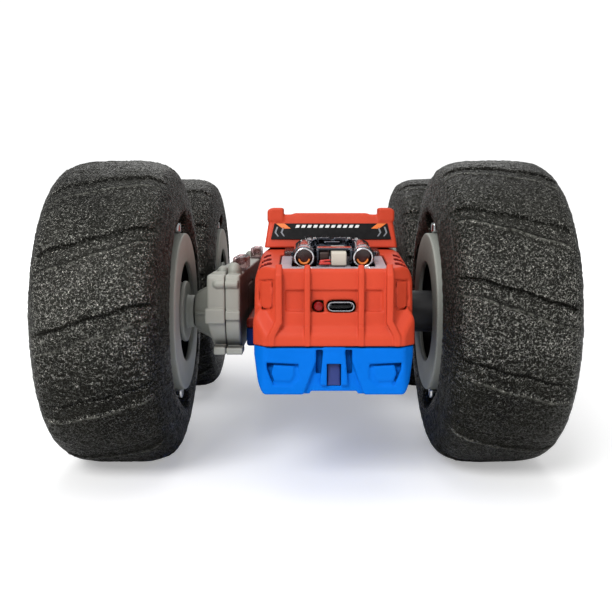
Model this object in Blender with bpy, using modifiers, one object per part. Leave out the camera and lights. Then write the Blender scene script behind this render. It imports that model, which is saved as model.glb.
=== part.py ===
# Remote-controlled stunt car: a narrow two-colour body between four very large
# soft foam wheels.  The two left wheels run on the body, the two right wheels
# on a swing arm that turns about a pivot at the middle of the wheelbase.
#
# Frame: metres, +Z up, ground at z = 0, y = 0 at the middle of the wheelbase,
# x = 0 half way between the left and right tyres.  The nose points to -Y, so
# the driver's right hand is -X and the left hand is +X.
# Sizes below are in millimetres; a span is a (start, end) pair along one axis.

import math
from collections import namedtuple

import bmesh
import bpy
from mathutils import Matrix, Vector

MM = 0.001

# ---------------------------------------------------------------- driving dimensions
TYRE_R = 60.0
AXLE_Z = TYRE_R
AXLE_R = 2.0
AXLE_FIT = AXLE_R + 0.06         # bore of a piece that turns with its axle
AXLE_CLEAR = AXLE_R + 0.12       # bore that an axle or shaft turns in

# tip_rise: height of the teeth above the pitch circle; x_span: the gear's two faces
GearSize = namedtuple("GearSize", "teeth module tip_rise x_span")
DRIVE_MODULE, SWING_MODULE = 2.0, 1.5      # pitch diameter per tooth
SWING_GEAR_X = (-14.2, -10.3)
ARM_GEAR = GearSize(12, DRIVE_MODULE, 0.6 * DRIVE_MODULE, (-34.6, -28.9))
BODY_GEAR = GearSize(18, DRIVE_MODULE, 1.05, (25.0, 29.5))
SWING_GEAR = GearSize(16, SWING_MODULE, 0.6 * SWING_MODULE, SWING_GEAR_X)
SWING_PINION = GearSize(8, SWING_MODULE, 0.6 * SWING_MODULE, SWING_GEAR_X)
ROOT_DROP = 0.9                  # depth of the teeth below the pitch circle, in modules

ARM_PITCH = DRIVE_MODULE * ARM_GEAR.teeth      # spacing of the gears in the arm
BODY_PITCH = DRIVE_MODULE * BODY_GEAR.teeth    # spacing of the gears in the body
ARM_IDLERS = (-2, -1, 1, 2)      # places of the idlers, in gear spacings from y = 0
BODY_IDLERS = (-1, 1)
HALF_BASE = 3 * ARM_PITCH        # half the wheelbase
SWING_Y = SWING_MODULE * (SWING_GEAR.teeth + SWING_PINION.teeth) / 2
PIN_R, IDLER_BORE = 1.5, 1.6

BODY_X = 9.45                    # body centre plane
BODY_HALF = 26.85                # half width at the split line
WALL = 1.8
DECK_Z = 85.8                    # flat middle of the body
HOOD_FOOT_Y, HOOD_FOOT_Z = -127.5, 80.4    # the hood slopes up from here
HOOD_TOP_Y = -90.3               # to the deck here

SIDES = ((-1, "right"), (1, "left"))
AXLES = ((-HALF_BASE, "front"), (HALF_BASE, "rear"))

# ---------------------------------------------------------------- scene reset
for old in list(bpy.data.objects):
    bpy.data.objects.remove(old, do_unlink=True)

scene = bpy.context.scene
car = bpy.data.collections.new("rc_stunt_car")
cutters = bpy.data.collections.new("cutters")
scene.collection.children.link(car)
scene.collection.children.link(cutters)

# ---------------------------------------------------------------- materials
# look: (base colour, roughness, metallic)
LOOKS = {
    "red_plastic": ((0.60, 0.055, 0.030), 0.42, 0.0),
    "blue_plastic": ((0.012, 0.165, 0.72), 0.40, 0.0),
    "grey_plastic": ((0.30, 0.30, 0.29), 0.45, 0.0),
    "dark_plastic": ((0.035, 0.035, 0.04), 0.5, 0.0),
    "foam": ((0.025, 0.025, 0.026), 0.75, 0.0),
    "chrome": ((0.75, 0.76, 0.78), 0.12, 1.0),
    "silver": ((0.55, 0.56, 0.58), 0.3, 0.9),
    "steel": ((0.55, 0.55, 0.56), 0.3, 1.0),
    "cream": ((0.55, 0.51, 0.44), 0.5, 0.0),
    "lilac": ((0.42, 0.40, 0.44), 0.4, 0.0),
    "decal": ((0.012, 0.012, 0.014), 0.35, 0.0),
    "led": ((0.55, 0.01, 0.01), 0.15, 0.0),
    "pcb": ((0.02, 0.16, 0.06), 0.5, 0.0),
    "battery": ((0.05, 0.10, 0.30), 0.5, 0.0),
    "white_nylon": ((0.75, 0.74, 0.70), 0.45, 0.0),
}


def material(name, colour, roughness, metallic):
    mat = bpy.data.materials.new(name)
    mat.use_nodes = True
    shader = mat.node_tree.nodes["Principled BSDF"]
    shader.inputs["Base Color"].default_value = (*colour, 1.0)
    shader.inputs["Roughness"].default_value = roughness
    shader.inputs["Metallic"].default_value = metallic
    mat.diffuse_color = (*colour, 1.0)
    return mat


# ---------------------------------------------------------------- object helpers
def move_to_collection(obj, collection):
    for current in list(obj.users_collection):
        current.objects.unlink(obj)
    collection.objects.link(obj)


def finish(obj, look, sharp_angle=35.0):
    """Give a piece its own material and put it in the car; no angle leaves it flat."""
    obj.data.materials.clear()
    obj.data.materials.append(material(obj.name + "_mat", *LOOKS[look]))
    if sharp_angle is not None:
        obj.data.shade_smooth()
        obj.data.set_sharp_from_angle(angle=math.radians(sharp_angle))
    move_to_collection(obj, car)


def combine(obj, tool, operation):
    mod = obj.modifiers.new(operation.lower(), "BOOLEAN")
    mod.operation = operation
    mod.solver = "EXACT"
    mod.object = tool
    tool.hide_render = True
    tool.display_type = "WIRE"
    move_to_collection(tool, cutters)


def cut(obj, tool):
    combine(obj, tool, "DIFFERENCE")


def join(obj, tool):
    combine(obj, tool, "UNION")


def metres(point):
    return [c * MM for c in point]


def middle(span):
    return (span[0] + span[1]) / 2


def length(span):
    return abs(span[1] - span[0])


def around(centre, half):
    """Span that reaches half to either side of its centre."""
    return (centre - half, centre + half)


def beside_body(side, near, far):
    """X span between two distances from the body plane, on one side of it."""
    return (BODY_X + side * near, BODY_X + side * far)


def move_origin(obj, place):
    new = Vector(metres(place))
    shift = obj.rotation_euler.to_matrix().inverted() @ (obj.location - new)
    for vertex in obj.data.vertices:
        vertex.co = vertex.co + shift
    obj.location = new


def link_mesh(name, mesh):
    obj = bpy.data.objects.new(name, mesh)
    scene.collection.objects.link(obj)
    return obj


def bmesh_object(name, bm, triangulate=True):
    if triangulate:
        bmesh.ops.triangulate(bm, faces=bm.faces)
    bmesh.ops.recalc_face_normals(bm, faces=bm.faces)
    mesh = bpy.data.meshes.new(name)
    bm.to_mesh(mesh)
    bm.free()
    return link_mesh(name, mesh)


def settle(obj):
    """Turn an evaluated curve or modifier stack into a plain mesh object."""
    bpy.context.view_layer.update()
    graph = bpy.context.evaluated_depsgraph_get()
    mesh = bpy.data.meshes.new_from_object(obj.evaluated_get(graph))
    bm = bmesh.new()
    bm.from_mesh(mesh)
    bmesh.ops.remove_doubles(bm, verts=bm.verts, dist=0.000002)
    bmesh.ops.recalc_face_normals(bm, faces=bm.faces)
    bm.to_mesh(mesh)
    bm.free()
    name = obj.name
    matrix = obj.matrix_world.copy()
    bpy.data.objects.remove(obj, do_unlink=True)
    solid = link_mesh(name, mesh)
    solid.matrix_world = matrix
    return solid


# ---------------------------------------------------------------- primitives
def box(name, x_span, y_span, z_span):
    spans = (x_span, y_span, z_span)
    bpy.ops.mesh.primitive_cube_add(size=1.0, location=metres(middle(s) for s in spans))
    obj = bpy.context.active_object
    obj.name = obj.data.name = name
    size = metres(length(s) for s in spans)
    for vertex in obj.data.vertices:
        vertex.co = [c * s for c, s in zip(vertex.co, size)]
    return obj


ROD_TURN = {"X": (0, math.pi / 2, 0), "Y": (math.pi / 2, 0, 0), "Z": (0, 0, 0)}


def rod(name, radius, span, across, segments=16, axis="X"):
    """Cylinder over a span of one axis; across holds its place on the other two axes."""
    place = list(across)
    place.insert("XYZ".index(axis), middle(span))
    bpy.ops.mesh.primitive_cylinder_add(
        vertices=segments, radius=radius * MM, depth=length(span) * MM,
        location=metres(place), rotation=ROD_TURN[axis])
    obj = bpy.context.active_object
    obj.name = obj.data.name = name
    return obj


def turned(name, profile, y, side=1, segments=24):
    """Ring turned about an axis parallel to X, at axle height.

    profile: closed outline of (radius, distance along the axis), in order; side
    is +1 or -1 for a piece that reaches out towards +X or -X.
    """
    points = list(profile)
    area = sum(a[0] * b[1] - b[0] * a[1] for a, b in zip(points, points[1:] + points[:1]))
    if area > 0:                      # the outer side has to run top to bottom
        points.reverse()
    mesh = bpy.data.meshes.new(name)
    mesh.from_pydata([(r * MM, 0.0, along * MM) for r, along in points],
                     [(i, (i + 1) % len(points)) for i in range(len(points))], [])
    obj = link_mesh(name, mesh)
    screw = obj.modifiers.new("turn", "SCREW")
    screw.axis = "Z"
    screw.angle = 2 * math.pi
    screw.steps = screw.render_steps = segments
    screw.use_merge_vertices = True
    screw.merge_threshold = 0.00001
    screw.use_smooth_shade = True
    obj.location = metres((0.0, y, AXLE_Z))
    obj.rotation_euler = (0.0, math.pi / 2 * side, 0.0)
    return settle(obj)


SIDE_ON = (0.0, math.pi / 2, 0.0)       # local (x, y, z) -> world (z, y, -x)
END_ON = (math.pi / 2, 0.0, 0.0)        # local (x, y, z) -> world (x, -z, y)


def plate(name, loops, depth, place, turn):
    """Flat outline with holes: closed loops of local (x, y), depth along local z."""
    curve = bpy.data.curves.new(name, "CURVE")
    curve.dimensions = "2D"
    curve.fill_mode = "BOTH"
    curve.extrude = depth / 2 * MM
    for loop in loops:
        line = curve.splines.new("POLY")
        line.points.add(len(loop) - 1)
        for point, (x, y) in zip(line.points, loop):
            point.co = (x * MM, y * MM, 0.0, 1.0)
        line.use_cyclic_u = True
    obj = bpy.data.objects.new(name, curve)
    scene.collection.objects.link(obj)
    obj.location = metres(place)
    obj.rotation_euler = turn
    return settle(obj)


def side_plate(name, outline, x_span):
    """Plate seen from the side: outline of (y, height above the axles)."""
    local = [(-z, y) for y, z in outline]
    return plate(name, [local], length(x_span), (middle(x_span), 0, AXLE_Z), SIDE_ON)


def polar(radius, angle):
    return (radius * math.cos(angle), radius * math.sin(angle))


def circle(radius, count, start=0.0):
    return [polar(radius, start + 2 * math.pi * i / count) for i in range(count)]


def screw(name, span, head_radius, head_span, across, axis):
    obj = rod(name, 1.2, span, across, 12, axis)
    join(obj, rod(name + "_head", head_radius, head_span, across, 12, axis))
    finish(obj, "steel")


# ---------------------------------------------------------------- gears
def gear_outline(size, phase):
    """Straight-flanked teeth; phase is in tooth pitches, 0 puts a tooth on the Y axis."""
    pitch_radius = size.module * size.teeth / 2
    root = pitch_radius - ROOT_DROP * size.module
    tip = pitch_radius + size.tip_rise
    step = 2 * math.pi / size.teeth
    # corners of one tooth: (radius, angle in tooth pitches)
    tooth = ((root, -0.30), (tip, -0.11), (tip, 0.11), (root, 0.30))
    return [polar(radius, math.pi / 2 + (i + phase) * step + offset * step)
            for i in range(size.teeth) for radius, offset in tooth]


def gear(name, size, y, phase, bore, bore_segments=16):
    loops = [gear_outline(size, phase), circle(bore, bore_segments, math.pi / 2)]
    place = (middle(size.x_span), y, AXLE_Z)
    return plate(name, loops, length(size.x_span), place, SIDE_ON)


def gear_train(side_name, size, pitch, idlers, drive_phase, drive_bore):
    """Drive gear at y = 0 and its idlers; each gear is half a tooth on from the last."""
    finish(gear(side_name + "_drive_gear", size, 0, drive_phase, drive_bore), "white_nylon")
    for number, step in enumerate(idlers, 1):
        phase = (drive_phase + 0.5 * step) % 1
        idler = gear(f"{side_name}_idler_gear_{number}", size, step * pitch, phase,
                     IDLER_BORE, 12)
        finish(idler, "white_nylon")


def right_drive_shaft():
    finish(rod("right_drive_shaft", AXLE_R, (-36.0, -6.6), (0, AXLE_Z)), "steel")


# ================================================================ WHEELS
TYRE_IN, TYRE_OUT = 47.5, 95.4   # |x| of the tyre's inner and outer sides
TYRE_BORE = 31.8
RING_X = 47.9                    # |x| of the rim's inner ring face
RING_R, RING_HOLE = 31.4, 19.8
HUB_R = 13.8
RIM_INSIDE_R = 29.4

# (radius, |x|)
TYRE_PROFILE = [
    (TYRE_BORE, 50.2), (34.2, 48.8), (38.5, 47.8), (43.0, TYRE_IN),
    (48.0, 48.0), (52.0, 49.3), (55.5, 51.5), (58.2, 55.4),
    (TYRE_R, 66.0), (TYRE_R, 79.5), (59.0, 86.4), (56.4, 91.9),
    (51.5, 94.6), (43.0, TYRE_OUT), (35.0, 94.4), (TYRE_BORE, 92.2),
]
# the right wheels' hub reaches in to the arm's short nose; the left wheels' is
# shorter and leaves room for the body's long sleeve
HUB_PROFILE = {
    "right": [(AXLE_FIT, 44.6), (7.6, 44.6), (7.6, 56.0), (HUB_R, 56.0)],
    "left": [(AXLE_FIT, 57.6), (HUB_R, 57.6)],
}
RIM_PROFILE = [
    (HUB_R, 80.0), (RIM_INSIDE_R, 80.0), (RIM_INSIDE_R, 49.8), (RING_HOLE, 49.8),
    (RING_HOLE, RING_X), (RING_R, RING_X), (RING_R, 91.0), (RIM_INSIDE_R, 91.0),
    (RIM_INSIDE_R, 82.6), (AXLE_FIT, 82.6),
]
# one spoke: (radius, angle from its middle in radians)
SPOKE = ((11.0, -0.40), (19.0, -0.18), (29.0, -0.24), (29.0, 0.24), (19.0, 0.18), (11.0, 0.40))
SPOKES = 6
DISC_X, DISC_THICK = 84.5, 3.0
AXLE_INNER_X = {"right": -28.3, "left": 23.8}
AXLE_OUTER_X, AXLE_ORIGIN_X = 88.5, 70.7     # |x|
AXLE_GEAR = {"right": ARM_GEAR, "left": BODY_GEAR}


def spoke_disc(name, x, y):
    """Broad spokes that widen towards the rim, around the axle hole."""
    outline = [polar(radius, math.pi / 2 + i * 2 * math.pi / SPOKES + angle)
               for i in range(SPOKES) for radius, angle in SPOKE]
    disc = plate(name, [outline, circle(AXLE_FIT, 12)], DISC_THICK, (x, y, AXLE_Z), SIDE_ON)
    finish(disc, "silver")


def wheel(side, side_name, y, end_name):
    """Tyre, rim, spoke disc, axle and axle gear, all turning together."""
    prefix = f"{side_name}_{end_name}"
    finish(turned(prefix + "_tyre", TYRE_PROFILE, y, side, 28), "foam", 50)
    rim = turned(prefix + "_rim", HUB_PROFILE[side_name] + RIM_PROFILE, y, side, 20)
    finish(rim, "grey_plastic")
    spoke_disc(prefix + "_spoke_disc", side * DISC_X, y)
    span = (AXLE_INNER_X[side_name], side * AXLE_OUTER_X)
    axle = rod(prefix + "_axle", AXLE_R, span, (y, AXLE_Z))
    move_origin(axle, (side * AXLE_ORIGIN_X, y, AXLE_Z))
    finish(axle, "steel")
    axle_gear = gear(prefix + "_axle_gear", AXLE_GEAR[side_name], y, 0.0, AXLE_FIT)
    finish(axle_gear, "white_nylon")


# ================================================================ SWING ARM
ARM_IN, ARM_OUT, ARM_SPLIT = -25.1, -37.9, -30.9    # x of its faces and split plane
ARM_HALF_GAP = 0.1               # each half stops this far from the split plane
ARM_WALL = 1.5
ARM_TOP, ARM_BOTTOM = 75.7 - AXLE_Z, 45.0 - AXLE_Z  # heights from the axles
ARM_SHOULDER = ARM_TOP - 1.2     # the top edge drops to this at its ends
ARM_END = 89.6
CAVITY_REACH, CAVITY_HALF_HEIGHT = 14.0, 13.8
ARM_SCREWS = ((-83.6, 72.4), (83.6, 72.4))          # (y, z)
SCREW_HOLE_R = 1.35

# (y, height from the axles, corner radius)
ARM_CORNERS = (
    (-ARM_END, ARM_SHOULDER, 3.2), (-ARM_END + 6, ARM_TOP, 0),
    (ARM_END - 6, ARM_TOP, 0), (ARM_END, ARM_SHOULDER, 3.2),
    (ARM_END, ARM_BOTTOM, 15.5), (-ARM_END, ARM_BOTTOM, 15.5),
)
# (radius, |x|)
ARM_NOSE_PROFILE = [(1.0, 37.0), (10.5, 37.0), (10.5, 39.3), (7.3, 43.5), (6.7, 44.2), (1.0, 44.2)]
# (radius, x)
PIVOT_PROFILE = [(AXLE_CLEAR, -28.3), (AXLE_CLEAR, -9.9), (5.0, -9.9),
                 (5.0, -26.9), (7.6, -26.9), (7.6, -28.3)]


def rounded(corners, steps=4):
    """Closed outline from (y, z, radius) corners, each rounded by its radius."""
    outline = []
    for i, (y, z, radius) in enumerate(corners):
        if radius <= 0:
            outline.append((y, z))
            continue
        corner = Vector((y, z))
        back = (Vector(corners[i - 1][:2]) - corner).normalized()
        ahead = (Vector(corners[(i + 1) % len(corners)][:2]) - corner).normalized()
        half = back.angle(ahead) / 2
        trim = radius / math.tan(half)
        centre = corner + (back + ahead).normalized() * (radius / math.sin(half))
        first = corner + back * trim - centre
        last = corner + ahead * trim - centre
        sweep = first.angle_signed(last)
        for k in range(steps + 1):
            angle = -sweep * k / steps
            c, s = math.cos(angle), math.sin(angle)
            outline.append((centre.x + first.x * c - first.y * s,
                            centre.y + first.x * s + first.y * c))
    return outline


def arm_cavity(points=10):
    """Long slot with a half-round end about each axle."""
    outline = []
    for y, start in ((-HALF_BASE, math.pi / 2), (HALF_BASE, -math.pi / 2)):
        for i in range(points):
            angle = start + math.pi * i / (points - 1)
            outline.append((y + CAVITY_REACH * math.cos(angle),
                            CAVITY_HALF_HEIGHT * math.sin(angle)))
    return outline


def arm_outer_half():
    arm = side_plate("right_arm_outer_half", rounded(ARM_CORNERS),
                     (ARM_OUT, ARM_SPLIT - ARM_HALF_GAP))
    cut(arm, side_plate("cut_arm_outer", arm_cavity(), (ARM_OUT + ARM_WALL, ARM_SPLIT + 1)))
    for step in ARM_IDLERS:
        y = step * ARM_PITCH
        join(arm, rod(f"pin_arm_{y:.0f}", PIN_R, (ARM_OUT + 0.9, -27.4), (y, AXLE_Z), 12))
    join(arm, box("belt_arm", around(ARM_OUT, 0.5), (-86.5, 86.5), (57.2, 62.9)))
    # conical noses carry the axles out to the wheels
    for y, _ in AXLES:
        join(arm, turned(f"nose_{y:.0f}", ARM_NOSE_PROFILE, y, -1))
        cut(arm, rod(f"bore_outer_{y:.0f}", AXLE_CLEAR, (-57.5, ARM_SPLIT), (y, AXLE_Z)))
    for i, across in enumerate(ARM_SCREWS):
        cut(arm, rod(f"hole_outer_{i}", SCREW_HOLE_R, (ARM_OUT - 2, ARM_SPLIT + 1), across, 12))
    finish(arm, "grey_plastic")


def arm_inner_half():
    arm = side_plate("right_arm_inner_half", rounded(ARM_CORNERS),
                     (ARM_SPLIT + ARM_HALF_GAP, ARM_IN))
    cut(arm, side_plate("cut_arm_inner", arm_cavity(), (ARM_SPLIT - 1, ARM_IN - ARM_WALL)))
    cut(arm, rod("hole_pivot_arm", 5.15, (ARM_IN - 3, ARM_IN + 2), (0, AXLE_Z), 24))
    for i, across in enumerate(ARM_SCREWS):
        span = (ARM_SPLIT - 1, ARM_IN - 1.2)
        cut(arm, rod(f"hole_inner_{i}", SCREW_HOLE_R, span, across, 12))
    finish(arm, "grey_plastic")


def arm_screws():
    for end_name, across in zip(("front", "rear"), ARM_SCREWS):
        screw("right_arm_screw_" + end_name, (-39.2, -26.8), 2.3, (-39.6, -38.2), across, "X")


def arm_pivot():
    """Flanged tube with the swing gear's teeth around it, and the pinion beside it."""
    pivot = turned("right_arm_pivot_tube", PIVOT_PROFILE, 0)
    join(pivot, gear("teeth_swing", SWING_GEAR, 0, 0.0, 4.0, 12))
    finish(pivot, "white_nylon")
    finish(gear("swing_pinion", SWING_PINION, SWING_Y, 0.5, 1.1, 12), "steel")


# ================================================================ BODY SHELLS
END_Y = 129.4                    # |y| of the nose and tail
SPLIT_Z = 55.1                   # red above, blue below
UPPER_EDGE, LOWER_EDGE = SPLIT_Z + 0.15, SPLIT_Z - 0.15
# the shells are drawn past their edges, then trimmed back to them
UPPER_LOW, LOWER_HIGH = UPPER_EDGE - 1.5, LOWER_EDGE + 1.5
TRIM_X, TRIM_Y = (-60, 80), (-150, 150)
KEEL_Z = 38.9
SILL_IN, SILL_OUT = 26.0, 32.75  # distances from the body plane
SILL_Y = 83.0
SILL_LOW, SILL_HIGH = 47.4, 58.4
RIB_Y = (126.6, 130.0)           # |y|
RIB_TOP = 79.9
USB_X, LED_X, PORT_Z = BODY_X + 2.25, BODY_X - 5.3, 67.9
SWITCH_X, SWITCH_Y = BODY_X - 10.3, -40.1
SCREW_POSTS = [(BODY_X + across * 21.5, along * 104.0) for across in (-1, 1) for along in (-1, 1)]


def deck(y):
    """Height of the body's top at a distance y along the car."""
    run = (abs(y) - abs(HOOD_FOOT_Y)) / (abs(HOOD_TOP_Y) - abs(HOOD_FOOT_Y))
    return min(DECK_Z, HOOD_FOOT_Z + (DECK_Z - HOOD_FOOT_Z) * run)


# Shell stations from the nose back: each lists (half width, y, z) from the top
# corner to the bottom corner.  The rear stations mirror them.
UPPER_OUTSIDE = [
    [(19.4, HOOD_FOOT_Y, 79.6), (19.6, HOOD_FOOT_Y, 68.0),
     (21.0, HOOD_FOOT_Y, 58.0), (22.0, HOOD_FOOT_Y, UPPER_LOW)],
    [(24.2, -121.6, deck(-121.6) - 0.3), (26.3, -119.8, 75.5),
     (26.6, -120.2, 58.0), (BODY_HALF, -120.6, UPPER_LOW)],
    [(24.8, -113.0, deck(-113.0)), (26.5, -113.0, 78.0),
     (26.7, -113.0, 62.0), (BODY_HALF, -113.0, UPPER_LOW)],
    [(24.8, HOOD_TOP_Y, DECK_Z), (26.4, HOOD_TOP_Y, 82.0),
     (26.7, HOOD_TOP_Y, 62.0), (BODY_HALF, HOOD_TOP_Y, UPPER_LOW)],
]
UPPER_INSIDE = [
    [(17.2, -125.6, 78.2), (17.4, -125.6, 70.0), (18.0, -125.6, UPPER_LOW - 1)],
    [(22.4, -115.5, deck(-115.5) - WALL), (24.4, -115.5, 75.0),
     (BODY_HALF - WALL, -115.5, UPPER_LOW - 1)],
    [(22.6, HOOD_TOP_Y, DECK_Z - WALL), (24.5, HOOD_TOP_Y, 80.0),
     (BODY_HALF - WALL, HOOD_TOP_Y, UPPER_LOW - 1)],
]
LOWER_OUTSIDE = [
    [(22.6, -129.2, LOWER_HIGH), (22.4, -128.4, 49.0), (21.4, -127.2, 40.0)],
    [(BODY_HALF, -122.0, LOWER_HIGH), (26.3, -121.6, 47.5), (23.6, -121.0, KEEL_Z)],
    [(BODY_HALF, -110.0, LOWER_HIGH), (26.5, -110.0, 48.0), (24.2, -110.0, KEEL_Z)],
]
LOWER_INSIDE = [
    [(20.2, -124.4, LOWER_HIGH + 1), (20.0, -124.4, 49.0), (18.6, -124.4, 43.4)],
    [(BODY_HALF - WALL, -117.0, LOWER_HIGH + 1), (24.6, -117.0, 48.5),
     (22.0, -117.0, KEEL_Z + WALL)],
]
# outlines of the end bands: (distance from the body plane, |y|)
BAND_LOW = [(-22.4, END_Y), (22.4, END_Y), (BODY_HALF, 122.5),
            (BODY_HALF, 116.0), (-BODY_HALF, 116.0), (-BODY_HALF, 122.5)]
BAND_TOP = [(-20.8, 127.4), (20.8, 127.4), (26.5, 120.8),
            (26.5, 116.0), (-26.5, 116.0), (-26.5, 120.8)]
# rib that kinks outwards at the lower band: (distance from the body plane, z)
KINKED_RIB = [(17.35, RIB_TOP), (19.75, RIB_TOP), (19.75, 62.6), (22.2, 58.4),
              (22.2, UPPER_LOW), (19.8, UPPER_LOW), (19.8, 58.0), (17.35, 62.2)]
# (radius, x)
BUSH_PROFILE = [(5.1, -24.6), (5.1, -15.6), (6.5, -15.6), (6.5, -18.1),
                (9.0, -18.1), (9.0, -24.0), (8.4, -24.6)]
SLEEVE_PROFILE = [(AXLE_CLEAR, 30.4), (8.7, 30.4), (8.7, 55.0), (7.8, 56.0), (AXLE_CLEAR, 56.0)]


def loft(name, front_stations):
    """Closed solid through the stations, mirrored about the body plane and y = 0."""
    stations = front_stations + [[(half, -y, z) for half, y, z in station]
                                 for station in reversed(front_stations)]
    bm = bmesh.new()
    rings = []
    for station in stations:
        left = [bm.verts.new(metres((BODY_X + half, y, z))) for half, y, z in station]
        right = [bm.verts.new(metres((BODY_X - half, y, z))) for half, y, z in station]
        rings.append((left, right))
    for (left, right), (next_left, next_right) in zip(rings, rings[1:]):
        for i in range(len(left) - 1):
            bm.faces.new([left[i], left[i + 1], next_left[i + 1], next_left[i]])
            bm.faces.new([right[i], next_right[i], next_right[i + 1], right[i + 1]])
        bm.faces.new([right[0], left[0], next_left[0], next_right[0]])
        bm.faces.new([left[-1], right[-1], next_right[-1], next_left[-1]])
    for left, right in (rings[0], rings[-1]):
        for i in range(len(left) - 1):
            bm.faces.new([right[i], left[i], left[i + 1], right[i + 1]])
    return bmesh_object(name, bm)


def end_band(name, end):
    """Prouder lower band of the nose or tail, sloping back at its top."""
    bm = bmesh.new()
    rings = []
    for z, outline in ((UPPER_LOW, BAND_LOW), (58.2, BAND_LOW), (61.5, BAND_TOP)):
        rings.append([bm.verts.new(metres((BODY_X + x, end * y, z))) for x, y in outline])
    count = len(BAND_LOW)
    for below, above in zip(rings, rings[1:]):
        for i in range(count):
            after = (i + 1) % count
            bm.faces.new([below[i], below[after], above[after], above[i]])
    bm.faces.new(rings[0])
    bm.faces.new(rings[-1])
    return bmesh_object(name, bm)


def add_sills(shell, shell_name, z_span):
    for side, side_name in SIDES:
        join(shell, box(f"sill_{shell_name}_{side_name}", beside_body(side, SILL_IN, SILL_OUT),
                        (-SILL_Y, SILL_Y), z_span))


def add_ribs(shell):
    """Two straight and two kinked ribs on the nose and on the tail."""
    for end in (-1, 1):
        y_span = (end * RIB_Y[0], end * RIB_Y[1])
        for side in (-1, 1):
            x_span = around(BODY_X + side * 9.0, 1.0)
            join(shell, box(f"rib_in_{end}_{side}", x_span, y_span, (UPPER_LOW, RIB_TOP)))
            outline = [(side * x, z) for x, z in KINKED_RIB]
            join(shell, plate(f"rib_out_{end}_{side}", [outline], length(y_span),
                              (BODY_X, middle(y_span), 0), END_ON))


def cut_sleeves_and_bush(shell, tag, bush_name):
    """Seats for the left axle sleeves and the arm's pivot bush."""
    for y, _ in AXLES:
        cut(shell, rod(f"cut_sleeve_{tag}_{y:.0f}", 9.05, (32.0, 45.0), (y, AXLE_Z), 24))
    cut(shell, rod("cut_bush_flange_" + tag, 9.4, (-27.0, -17.75), (0, AXLE_Z), 24))
    cut(shell, rod(bush_name, 6.8, (-19.0, -13.0), (0, AXLE_Z), 24))


def upper_shell():
    shell = loft("upper_shell", UPPER_OUTSIDE)
    join(shell, end_band("band_nose", -1))
    join(shell, end_band("band_tail", 1))
    add_sills(shell, "upper", (UPPER_LOW, SILL_HIGH))
    add_ribs(shell)
    cut(shell, loft("hollow_upper", UPPER_INSIDE))
    cut(shell, box("split_upper", TRIM_X, TRIM_Y, (30, UPPER_EDGE)))
    # connector, lamp, hood and engine openings
    cut(shell, box("cut_port", around(USB_X, 4.8), (-131, -124), around(PORT_Z, 1.95)))
    cut(shell, rod("cut_lamp", 1.95, (-131, -124), (LED_X, PORT_Z), 16, "Y"))
    cut(shell, box("cut_hood", around(BODY_X, 18.5), (-126.0, -101.0), (76.5, 89.0)))
    cut(shell, box("cut_engine", around(BODY_X, 10.9), (-101.5, -91.9), (76.5, 89.0)))
    cut_sleeves_and_bush(shell, "u", "cut_bush")
    for step in BODY_IDLERS:
        y = step * BODY_PITCH
        join(shell, rod(f"pin_body_{y:.0f}", PIN_R, (24.4, 35.4), (y, AXLE_Z), 12))
    for i, place in enumerate(SCREW_POSTS):
        join(shell, rod(f"post_{i}", 2.9, (50.0, 79.0), place, 12, "Z"))
        cut(shell, rod(f"post_hole_{i}", SCREW_HOLE_R, (49.0, 60.0), place, 12, "Z"))
    finish(shell, "red_plastic")


def lower_shell():
    shell = loft("lower_shell", LOWER_OUTSIDE)
    add_sills(shell, "lower", (SILL_LOW, LOWER_HIGH))
    cut(shell, loft("hollow_lower", LOWER_INSIDE))
    cut(shell, box("split_lower", TRIM_X, TRIM_Y, (LOWER_EDGE, 80)))
    cut_sleeves_and_bush(shell, "l", "cut_bush_low")
    for i, place in enumerate(SCREW_POSTS):
        join(shell, rod(f"boss_{i}", 3.7, (39.6, 49.6), place, 12, "Z"))
        cut(shell, rod(f"floor_hole_{i}", 1.5, (38.0, 51.0), place, 12, "Z"))
        cut(shell, rod(f"counterbore_{i}", 2.9, (38.0, 41.4), place, 12, "Z"))
    cut(shell, box("switch_slot", around(SWITCH_X, 1.7), (-43.6, -33.4), (38.0, 42.0)))
    finish(shell, "blue_plastic")


def shell_fittings():
    """Shell screws, the arm's pivot bush and the sleeves that carry the left axles."""
    for number, place in enumerate(SCREW_POSTS, 1):
        screw(f"shell_screw_{number}", (39.8, 59.0), 2.5, (39.5, 41.1), place, "Z")
    finish(turned("arm_pivot_bush", BUSH_PROFILE, 0), "dark_plastic")
    for y, end_name in AXLES:
        finish(turned(f"left_{end_name}_axle_sleeve", SLEEVE_PROFILE, y), "dark_plastic")


# ================================================================ CAB
SCREEN_FOOT, SCREEN_TOP = (-90.5, 86.0), (-87.2, 98.6)      # (y, z)
SCREEN_RISE = SCREEN_TOP[1] - SCREEN_FOOT[1]
SCREEN_TILT = math.atan2(SCREEN_TOP[0] - SCREEN_FOOT[0], SCREEN_RISE)
CAB_HALF_FOOT, CAB_HALF_TOP = 25.2, 23.3    # half widths at the screen's foot and top
CAB_BASE = 84.2
# side outline: (y, z)
CAB_SIDE = [
    (SCREEN_FOOT[0] - (SCREEN_FOOT[1] - CAB_BASE) * math.tan(SCREEN_TILT), CAB_BASE),
    SCREEN_TOP, (-34.0, 97.8), (6.0, 89.2), (6.0, CAB_BASE),
]
DECAL_Z = 92.25
DECAL_OFFSET = 0.45              # from the windscreen to the middle of the decal
DECAL_THICK = 0.3
# (x, y) in the decal's own plane
DECAL_OUTLINE = [(-22.0, -3.05), (22.0, -3.05), (20.0, 3.05), (-20.0, 3.05)]


def cab_half(z):
    """Half width of the cab at a height."""
    return CAB_HALF_FOOT - (z - SCREEN_FOOT[1]) * (CAB_HALF_FOOT - CAB_HALF_TOP) / SCREEN_RISE


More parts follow.
